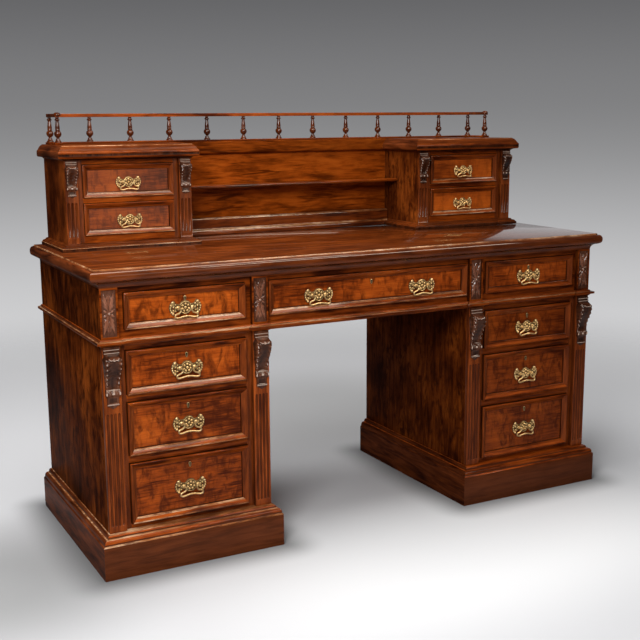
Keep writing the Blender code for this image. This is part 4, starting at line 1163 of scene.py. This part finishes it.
# %% [markdown]
# ## The rail on the spindles
# The rail follows the strip and ends in a ball over each front spindle. Three blocks united are enough for it,
# and the wide bevel gives it the round look of a moulding. Its top and its front take a lighter wood as
# painted light.

# %% Lay the rail
RAIL_HALF, GALLERY_RAIL_T, BALL_PAST = 0.007, 0.0095, 0.003
rail_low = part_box("gallery_rail")[0]
rail = gallery_run("rail", RAIL_HALF, rail_low.z, rail_low.z + GALLERY_RAIL_T, rail_low.y + BALL_PAST)
soften(rail, 0.0028, 4)
paint(rail, [TURNED_WOOD, LIT_SLOPE_WOOD], lambda face: 1 if face.normal.z > 0.4 or face.normal.y < -0.4 else 0)
balls = []
BALL = [
    (12.0, 0.4), (17.0, 2.0), (19.4, 4.4), (20.0, 6.5), (19.0, 8.8), (15.6, 11.0), (9.4, 12.6),
    (3.0, 13.0),
]
for sign in SIDES.values():
    balls.append(turned("ball", BALL, (sign * GALLERY_X, RETURN_Y), rail_low.z))
    paint(balls[-1], [TURNED_WOOD])
rail = joined("gallery_rail_wood", [rail, *balls])
smooth(rail, 40)
dress(rail, "carcass", "mahogany", "gallery_rail")
print("rail faces", len(rail.data.polygons))

# %% [markdown]
# ## Drawers
# A drawer's front is one cube. Its front face is inset again and again, and each inset is raised or sunk, so
# the chain of insets traces the moulding and ends in the sunk panel. That is quicker than mitring four strips
# and leaves no seams. Each face then takes a wood by where it lies: painted shade in the groove round the
# panel and on the outer walls, a painted highlight on the crest of the bottom member and on the inner part of
# the slope, and a lighter wood as painted light on the other faces that look up. On the lower drawers of the
# right half the highlight faces take plain rail wood instead. The box behind is a second cube, hollowed from
# above and a little from below.

# %% Make the drawers
# Shares of the moulding's width, inwards, and of its height
DRAWER_MOULD = [
    (0.0, 0.58), (0.015, 0.76), (0.04, 0.90), (0.08, 0.975), (0.13, 1.0), (0.18, 0.995), (0.24, 0.95),
    (0.32, 0.86), (0.42, 0.735), (0.52, 0.60), (0.62, 0.47), (0.72, 0.345), (0.80, 0.245), (0.86, 0.175),
    (0.90, 0.14), (0.93, 0.125), (0.945, 0.0),
]
LOWER_MOULD, CABINET_MOULD = (0.017, 0.010, 0.003), (0.015, 0.007, 0.0035)  # width, height, panel sunk by
FRONT_T, BOX_FROM, BOX_SET = 0.022, 0.012, 0.0004
BOX_WALL, BOX_DROP, BOX_FLOOR, BOX_RAISED = 0.010, 0.006, 0.013, 0.007


def hollowed(piece, test, up):
    """Insets the faces that pass a test by a wall's thickness and moves them up or down."""
    pick(piece, test)
    bpy.ops.mesh.inset(thickness=BOX_WALL)
    bpy.ops.mesh.extrude_region_move(TRANSFORM_OT_translate={"value": (0, 0, up)})
    return placed(piece.name)


def drawer(node, front, mould, veneer):
    low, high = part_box(node)
    mould_w, mould_out, sink = mould
    steps = [(share * mould_w, rise * mould_out) for share, rise in DRAWER_MOULD] + [(mould_w, -sink)]
    board = block("front", (low.x, front - steps[0][1], low.z), (high.x, front + FRONT_T, high.z))
    pick(board, lambda face: face.normal.y < -0.9)
    for (in0, out0), (in1, out1) in zip(steps, steps[1:]):
        bpy.ops.mesh.inset(thickness=in1 - in0, depth=out1 - out0, use_even_offset=True)
    board = placed("front")
    near, far = (low.x + BOX_SET, front + BOX_FROM, low.z), (high.x - BOX_SET, high.y, high.z - BOX_DROP)
    box = block("box", near, far)
    box = hollowed(box, lambda face: face.normal.z > 0.9, low.z + BOX_FLOOR - high.z + BOX_DROP)
    box = hollowed(box, lambda face: face.normal.z < -0.9 and face.center.z < low.z + 0.001, BOX_RAISED)
    outward(box)
    soften(box, 0.0006)
    outward(board)
    paint(box, [LINING])
    panel = front + sink - 0.0001

    # Painted shade in the groove and on the outer walls, painted highlights on crests and the inner slope,
    # painted light on faces that look up
    def board_finish(face):
        out = front - face.center.y
        if face.center.y > panel and face.normal.y < -0.9:
            return 2
        if out < 0.12 * mould_out and face.normal.y < -0.1 or out < 0 and abs(face.normal.y) < 0.1:
            return 3
        if face.center.z < low.z + 0.25 * mould_w and out > 0.9 * mould_out:
            return 5
        if face.normal.z > 0.3 and 0.12 * mould_out < out < 0.42 * mould_out:
            return 5
        if face.normal.z > 0.3 and out > 0:
            return 4
        return 1 if abs(face.normal.x) > abs(face.normal.z) else 0

    # On the right half the painted highlight is left out, as painted shade
    edge = RAIL_WOOD if node.startswith("right") and front == CASE_FRONT else HIGHLIGHT_WOOD
    paint(board, [RAIL_WOOD, STILE_WOOD, veneer, SHADOW_WOOD, LIT_SLOPE_WOOD, edge], board_finish)
    piece = joined(f"{node}_wood", [box, board])
    smooth(piece, 40)
    dress(piece, node, "flame_veneer", node)
    return piece


for node in LOWER_DRAWERS:
    # Painted light and shade: the frieze drawers and the left top drawer take the lightest veneer, the right
    # pedestal's drawers the darkest
    bright = "frieze" in node or node == "left_top_drawer"
    tone = "bright" if bright else "middle" if "left" in node else "deep"
    drawer(node, CASE_FRONT, LOWER_MOULD, VENEERS[tone])
for node in CABINET_DRAWERS:
    made = drawer(node, CABINET_FRONT, CABINET_MOULD, VENEERS[node.split("_")[0]])
print("drawers", len(LOWER_DRAWERS) + len(CABINET_DRAWERS), "of", len(made.data.polygons), "faces")

# %% [markdown]
# ## Handles
# The handles are cast brass. A plate starts as a circle whose points are moved onto the lobed outline.
# Extruded, inset and pierced, it carries the ornament, which at this size is balls and rings that run
# together: a rosette in a ring, a scroll in each side lobe and a collar round each post. A plate is made in
# millimetres for each of two sizes, and every handle is a copy of one of them.

# %% Cast ornament
def ball(centre, radii, sides=12):
    deselect()
    bpy.ops.mesh.primitive_uv_sphere_add(segments=sides, ring_count=8, radius=1, location=centre, scale=radii)
    return placed("ball")


def ring(centre, radii, wire):
    deselect()
    bpy.ops.mesh.primitive_torus_add(
        major_segments=28, minor_segments=8, major_radius=1, minor_radius=wire / radii[0],
        location=centre, rotation=(math.pi / 2, 0, 0), align="WORLD",
    )
    edit_all(placed("ring"))
    bpy.ops.transform.resize(value=(radii[0], radii[0], radii[1]), center_override=centre)
    return placed("ring")


def smooth_outline(points, steps):
    """A closed curve through points, as a row of points with steps between each two."""
    count = len(points)
    curve = []
    for i in range(count):
        p0, p1, p2, p3 = (Vector(points[(i + k) % count]) for k in (-1, 0, 1, 2))
        for j in range(steps):
            t = j / steps
            curve.append(0.5 * (2 * p1 + (p2 - p0) * t + (2 * p0 - 5 * p1 + 4 * p2 - p3) * t ** 2
                                + (3 * p1 - p0 - 3 * p2 + p3) * t ** 3))
    return curve


HALF_OUTLINE = [
    (0.0, 18.2), (8.7, 16.0), (14.5, 10.0), (20.0, 10.0), (24.5, 11.5), (30.5, 19.0), (37.8, 14.8),
    (43.0, 4.2), (42.2, -5.7), (36.5, -16.0), (31.3, -19.0), (25.2, -11.0), (18.0, -9.2), (13.6, -12.0),
    (7.0, -17.9), (0.0, -15.6),
]


def handle_plate():
    """The large plate in millimetres, with its back at y = 0 and the bail's axis at z = 0."""
    left = [(-x, z) for x, z in reversed(HALF_OUTLINE[1:-1])]
    outline = smooth_outline(HALF_OUTLINE + left, 4)
    deselect()
    bpy.ops.mesh.primitive_circle_add(vertices=len(outline), radius=1, fill_type="NGON")
    plate = placed("plate")
    for point, (x, z) in zip(plate.data.vertices, outline):
        point.co = (x, 0, z)
    pick(plate, lambda face: True)
    bpy.ops.mesh.extrude_region_move(TRANSFORM_OT_translate={"value": (0, -1.6, 0)})
    bpy.ops.mesh.inset(thickness=0.9, depth=0)
    bpy.ops.transform.translate(value=(0, -0.6, 0))
    plate = placed("plate")
    outward(plate)
    piercings = []
    for sign in SIDES.values():
        piercings.append(ball((sign * 33.0, -1, 1.5), (2.4, 6, 6.0)))
        piercings.append(ball((sign * 17.5, -1, 0), (1.2, 6, 5.0)))
    carve(plate, piercings)
    return plate


# Balls of the scrolls: across, up, half the width, half the height and how far out
CAST = [
    (33.2, 13.4, 4.8, 4.8, 3.8), (33.2, -14.8, 3.9, 4.0, 3.2), (38.6, 7.6, 2.9, 3.0, 2.8),
    (40.6, 1.4, 2.4, 2.9, 2.4), (39.8, -4.8, 2.5, 2.9, 2.5), (37.6, -10.4, 2.7, 2.7, 2.6),
    (32.6, 3.0, 2.6, 2.8, 2.8), (32.8, -5.8, 2.5, 2.6, 2.6), (26.6, 8.6, 2.8, 2.0, 2.2),
    (26.4, -7.6, 2.6, 1.9, 2.2), (26.4, 0.6, 2.0, 2.6, 2.0), (13.8, 8.2, 1.6, 1.6, 1.6),
]
ROSETTE = (90, 36, -18, -62, -118, 198, 144)  # where its balls stand, in degrees


def handle_ornament():
    """The rosette in the middle, and what is mirrored left and right."""
    parts = [ball((0, -2.6, 0.0), (3.9, 3.2, 3.9), 16), ring((0, -2.3, 0.4), (14.6, 15.2), 1.1)]
    for turn in ROSETTE:
        x, z = math.cos(math.radians(turn)), math.sin(math.radians(turn))
        parts.append(ball((9.3 * x, -3.0, 9.3 * z + 0.4), (3.4, 3.2, 3.4)))
    for sign in SIDES.values():
        for x, z, wide, tall, out in CAST:
            parts.append(ball((sign * x, -1.8, z), (wide, out, tall)))
        parts.append(ring((sign * 33.4, -2.0, -1.2), (6.2, 8.6), 1.2))
        parts.append(ring((sign * 19.5, -2.2, 0), (4.9, 4.9), 1.0))
    return parts


# %% [markdown]
# ## Posts and bails
# A post is grown like a spindle and laid over to point forward. The bail hangs between two posts. It is a
# cast rod that swells and thins as it bends, so it is a Bezier curve with a round section and a radius at
# each point, turned into a mesh, with a turned knop in its middle.

# %% Posts and bails
# Diameter and height
POST = [
    (8.4, 0.5), (8.4, 2.6), (7.0, 3.2), (4.8, 3.9), (4.6, 5.6), (6.0, 6.6), (6.7, 8.0), (6.8, 9.7),
    (6.4, 11.4), (4.6, 12.7), (1.2, 13.0),
]
# From the post: across, share of the drop and thickness
NECK = [
    (1.4, 0, 0.5), (-3.6, 0, 0.5), (-5.0, 0.12, 0.85), (-4.0, 0.32, 1.0), (-0.2, 0.50, 1.0),
    (6.0, 0.59, 1.0),
]
# Then to the middle: share of half the width, share of the drop and thickness
BOW = [
    (0.97, 0.72, 1.0), (0.985, 0.87, 1.0), (0.88, 0.985, 1.05), (0.72, 1, 1.1), (0.54, 0.96, 1.1),
    (0.34, 0.90, 1.0), (0.14, 0.87, 1.0),
]


def post(x):
    rows = [(across, across, up) for across, up in POST]
    piece = grown("post", rows, (x, 0), 16)
    only(piece)
    piece.rotation_euler = (math.pi / 2, 0, 0)
    return placed("post")


def handle_bail(post_x, half_w, drop):
    """A swan-necked bail in millimetres, hung from the X axis."""
    path = [(post_x + x, -drop * down, share) for x, down, share in NECK]
    path += [(half_w * x, -drop * down, share) for x, down, share in BOW]
    path += [(-x, z, share) for x, z, share in reversed(path)]
    curve = bpy.data.curves.new("bail", "CURVE")
    curve.dimensions = "3D"
    curve.bevel_depth = 2.2
    curve.bevel_resolution = 3
    curve.resolution_u = 4
    curve.use_fill_caps = True
    line = curve.splines.new("BEZIER")
    line.bezier_points.add(len(path) - 1)
    for point, (x, z, share) in zip(line.bezier_points, path):
        point.co = (x, 0, z)
        point.radius = share
        point.handle_left_type = point.handle_right_type = "AUTO"
    only(linked("bail", curve))
    bpy.ops.object.convert(target="MESH")
    wire = placed("bail")
    z = -drop * 0.865
    parts = [wire, ball((0, 0, z), (3.0, 3.1, 3.1), 16)]
    for sign in SIDES.values():
        parts.append(ball((sign * 3.6, 0, z), (0.9, 2.5, 2.5)))
        parts.append(ball((sign * 5.4, 0, z - 0.1), (1.2, 2.3, 2.3)))
    return joined("bail", parts)


# %% [markdown]
# ## Two sets of handles
# The cabinets have smaller handles of the same pattern. Each pattern is made once: it is joined, its depth is
# stored on its points for the brass to read, and it is scaled from millimetres to metres.

# %% Cast the two patterns
def shaded(piece, deepest, highest):
    """Stores how far each point stands out between two depths along Y."""
    shades = piece.data.attributes.new("relief", "FLOAT", "POINT")
    for point in piece.data.vertices:
        shades.data[point.index].value = min(max((point.co.y - deepest) / (highest - deepest), 0), 1)


def sized(piece, scale):
    """Turns millimetres into metres, at a scale."""
    only(piece)
    piece.scale = (scale / 1000,) * 3
    placed(piece.name)
    smooth(piece, 40)
    paint(piece, [BRASS])


def handle_set(spacing, half_w, drop, scale):
    """A plate with its posts, and its bail, ready to be copied to each drawer."""
    posts = [post(sign * spacing / 2 / scale) for sign in SIDES.values()]
    plate = joined("plate", [handle_plate(), *handle_ornament(), *posts])
    shaded(plate, -2.1, -4.4)
    bail = handle_bail(spacing / 2 / scale, half_w / scale, drop / scale)
    shaded(bail, 3.5, -1.0)
    for piece in (plate, bail):
        sized(piece, scale)
    return plate, bail


LARGE = handle_set(39, 31, 24.5, 1.0)
SMALL = handle_set(34, 26, 20.5, 0.84)
print("plate faces", len(LARGE[0].data.polygons), "bail faces", len(LARGE[1].data.polygons))

# %% [markdown]
# ## A handle for every drawer
# Each plate moves with its drawer. Each bail is a body of its own; on the real desk it swings from the posts.
# The copies stand where the frame's plates stand, and the two patterns are removed at the end.

# %% Hang the handles
AXIS_OUT = 0.0097  # from the back of a plate to the axis of its bail
plates = sorted(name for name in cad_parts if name.endswith("_plate"))
for node in plates:
    base = node[: -len("_plate")]
    drawer_body = base.replace("_drawer_left", "_drawer").replace("_drawer_right", "_drawer")
    low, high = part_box(node)
    spot = Vector(((low.x + high.x) / 2, high.y, (low.z + high.z) / 2))
    plate, bail = SMALL if "cabinet" in node else LARGE
    dress(copied(plate, f"{node}_brass", spot), drawer_body, "brass", node)
    axis = spot + Vector((0, -AXIS_OUT, 0))
    dress(copied(bail, f"{base}_bail_brass", axis), f"{base}_bail", "brass", f"{base}_bail")
for piece in (*LARGE, *SMALL):
    bpy.data.objects.remove(piece)
print("handles", len(plates))

# %% [markdown]
# ## Keyholes
# The nine lower drawers have a small brass escutcheon. The keyhole is cut through it by a cylinder and a
# block, and a plate of iron lies behind, near black as painted shade for the inside of the lock.

# %% Set the escutcheons
KEYHOLE_DOWN, ESCUTCHEON_OUT = 0.0262, 0.0008


def escutcheon(name, x, y, z):
    """A lobed plate in millimetres with a keyhole, set at a point of a drawer's panel."""
    deselect()
    bpy.ops.mesh.primitive_cylinder_add(vertices=36, radius=1, depth=1.6, rotation=(math.pi / 2, 0, 0))
    plate = placed("escutcheon")
    for point in plate.data.vertices:
        turn = math.atan2(point.co.x, point.co.z)
        waist = 1 - ramp(abs(turn), 1.1, 2.0)
        wide, tall = 3.1 + 0.9 * waist, 5.9 if abs(turn) < math.pi / 2 else 8.4
        point.co.x *= wide
        point.co.z *= tall
    pick(plate, lambda face: face.normal.y < -0.9)
    bpy.ops.mesh.inset(thickness=0.6, depth=0.5)
    plate = placed("escutcheon")
    deselect()
    bpy.ops.mesh.primitive_cylinder_add(
        vertices=20, radius=2.3, depth=9, location=(0, 0, 1.6), rotation=(math.pi / 2, 0, 0)
    )
    carve(plate, [placed("eye")])
    carve(plate, [block("slot", (-1.3, -5, -5.8), (1.3, 5, 1.6))])
    paint(plate, [BRASS, IRON_AND_SHADE])
    # The lock plate behind the keyhole, near black as painted shade
    lock = block("lock", (-2.8, 0.1, -6.2), (2.8, 0.7, 4.4))
    paint(lock, [BRASS, IRON_AND_SHADE], lambda face: 1)
    piece = joined(name, [plate, lock])
    shaded(piece, -0.6, -1.9)
    only(piece)
    piece.scale = (0.001,) * 3
    piece.location = (x, y - ESCUTCHEON_OUT, z)
    placed(name)
    smooth(piece, 40)
    return piece


for node in LOWER_DRAWERS:
    low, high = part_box(node)
    place = ((low.x + high.x) / 2, CASE_FRONT + LOWER_MOULD[2], high.z - KEYHOLE_DOWN)
    plate = escutcheon(f"{node}_escutcheon", *place)
    dress(plate, node, "brass")
print("escutcheons", len(LOWER_DRAWERS))

# %% [markdown]
# ## Floor
# The floor is pale and has no edge. A plane would show its end, so the paper turns clear in a wide circle and
# melts into the grey of the room. Two soft grey spots are painted shadows and one pale spot in front is a
# painted pool of light, a dark rim where the plinths touch the floor is a painted contact shadow, and the
# polish mirrors a darker floor than the camera sees.

# %% Stage
# Painted shadows and a painted pool of light: place, depth to width, where a spot starts and ends to fade, and
# its grey
PAINTED_SPOTS = [
    ((0.45, 0.80), 1, 0.20, 0.90, 0.44), ((-1.05, -0.20), 1, 0.10, 0.55, 0.36),
    ((0.15, -0.55), 0.55, 0.30, 1.10, 0.80),
]
# The reach of the painted contact shadow round each plinth, and the fade of the paper
CONTACT_SHADOW, FADE = (-0.03, 0.12), (1.3, 3.6)  # metres from a plinth, and from the middle of the desk
deselect()
bpy.ops.mesh.primitive_plane_add(size=16, location=(0, 0, 0))
floor = placed("studio_floor")
paper = Finish("floor_paper", {"Roughness": 0.7, "Specular IOR Level": 0.2})
fleck = paper.noise(paper.place((1, 1, 1)), 0.03, 4)
point = paper.point()
away = paper.vector("LENGTH", point)
pale = paper.mix(fleck * 0.08, (0.62, 0.62, 0.63, 1), (0.5, 0.5, 0.5, 1))
for (x, y), deep, near, far, tone in PAINTED_SPOTS:
    offset = paper.vector("DIVIDE", paper.vector("SUBTRACT", point, (x, y, 0)), (1, deep, 1))
    pale = paper.mix(paper.step(paper.vector("LENGTH", offset), near, far), (tone, tone, tone, 1), pale)
# Painted contact shadow: the floor darkens close round each plinth
gaps = []
for side in SIDES:
    low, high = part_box(f"{side}_plinth")
    middle, half = (low + high) / 2, (high - low) / 2
    offset = paper.vector("ABSOLUTE", paper.vector("SUBTRACT", point, (middle.x, middle.y, 0)))
    offset = paper.vector("MAXIMUM", paper.vector("SUBTRACT", offset, (half.x, half.y, 0)), (0, 0, 0))
    gaps.append(paper.step(paper.vector("LENGTH", offset), *CONTACT_SHADOW))
near = 2 - gaps[0] - gaps[1]
pale = paper.mix(near * 0.85, pale, (0.10, 0.10, 0.10, 1))
paper.use(base_color=paper.mix(paper.ray("Glossy") * 0.75, pale, (0.02, 0.02, 0.02, 1)))
clear = paper.node("ShaderNodeBsdfTransparent", {}, {})
shown = Signal(paper, paper.shader.outputs[0])
faded = paper.node("ShaderNodeMixShader", {}, {0: paper.step(away, *FADE), 1: shown, 2: clear})
paper.feed(paper.tree.nodes["Material Output"].inputs["Surface"], faded)
floor.data.materials.append(paper.material)
print("floor fades from", FADE[0], "to", FADE[1], "m")

# %% [markdown]
# ## Room and lamps
# The room is a smooth grey that darkens upwards. That is what the camera sees; the polish sees a dark room
# with one bright patch behind on the right, and what light the room itself gives is even. The rest comes
# from soft panels: a key from the left, a wide one from above that the polish does not mirror, and three
# warm sheens that show in the polish alone. One strong lamp would be simpler, but its shadows would be hard.

# %% Room light
world = bpy.data.worlds.new("room")
world.use_nodes = True
bpy.context.scene.world = world
room = Nodes(world.node_tree)
background = room.tree.nodes["Background"]
direction = room.point("Generated")
sideways, inwards, height = [room.axis(direction, letter) for letter in "XYZ"]
grey = room.mix(room.step(height, -0.20, 0.02), (0.62, 0.62, 0.63, 1), (0.225, 0.225, 0.23, 1))
grey = room.mix(room.step(height, -0.02, 0.16), grey, (0.105, 0.105, 0.11, 1))
low = room.step(height, -0.02, 0.03) - room.step(height, 0.28, 0.46)
patch = room.step(inwards, 0.05, 0.65) * low * room.step(sideways, 0.30, 0.72)
mirrored = room.mix(patch, (0.012, 0.011, 0.011, 1), (0.50, 0.50, 0.51, 1))
colour = room.mix(room.ray("Glossy"), (0.30, 0.30, 0.305, 1), mirrored)
seen = room.ray("Camera") + room.ray("Transmission")
room.feed(background.inputs["Color"], room.mix(seen, colour, grey))


def panel_light(name, place, target, size, power, sheen=False, mirrored=True):
    """A soft light that looks at a point; a warm sheen shows only in the polish."""
    light = bpy.data.lights.new(name, "AREA")
    light.shape = "RECTANGLE"
    light.size, light.size_y = size
    light.energy = power
    light.color = (1, 0.87, 0.72) if sheen else (1, 1, 1)
    lamp = linked(name, light)
    lamp.location = place
    lamp.rotation_euler = (Vector(target) - Vector(place)).to_track_quat("-Z", "Y").to_euler()
    lamp.visible_diffuse = not sheen
    lamp.visible_glossy = mirrored


panel_light("key", (-1.6, -1.9, 2.0), (-0.3, 0, 0.6), (0.9, 0.9), 46)
panel_light("top", (-0.5, 0.1, 3.2), (0, 0, 0.6), (2.4, 1.8), 95, mirrored=False)
panel_light("sheen", (1.4, -2.5, 2.1), (0, -0.2, 0.5), (1.8, 0.35), 26, True)
panel_light("front_sheen", (0.3, -1.2, 2.6), (0, -0.1, 0.5), (1.4, 1.0), 34, True)
panel_light("low_sheen", (0.45, -3.0, 0.68), (0, 0, 0.8), (0.8, 0.5), 1.6, True)
print("lamps", len(bpy.data.lights))

# %% [markdown]
# ## Camera
# The camera stands where the photograph was taken from. Its place, its turn and its lens were fitted to
# level, upright and square edges of the desk, so they are typed in. The picture is shown without a film look.

# %% Camera
CAMERA_AT = (-1.4781, -2.7520, 1.1418)
LENS_MM, SENSOR_MM = 59.645, 36
yaw, pitch, roll = (math.radians(turn) for turn in (27.908, -10.885, -0.346))
ahead = Vector((math.sin(yaw) * math.cos(pitch), math.cos(yaw) * math.cos(pitch), math.sin(pitch)))
level = Vector((math.cos(yaw), -math.sin(yaw), 0))
above = level.cross(ahead)
across = math.cos(roll) * level + math.sin(roll) * above
upwards = -math.sin(roll) * level + math.cos(roll) * above
lens = bpy.data.cameras.new("photo_camera")
lens.sensor_width = SENSOR_MM
lens.lens = LENS_MM
camera = linked("photo_camera", lens)
turned_to = Matrix((across, upwards, -ahead)).transposed().to_4x4()
camera.matrix_world = Matrix.Translation(CAMERA_AT) @ turned_to
bpy.context.scene.camera = camera
bpy.context.scene.view_settings.view_transform = "Standard"
print("camera at", CAMERA_AT, "with a lens of", LENS_MM, "mm")
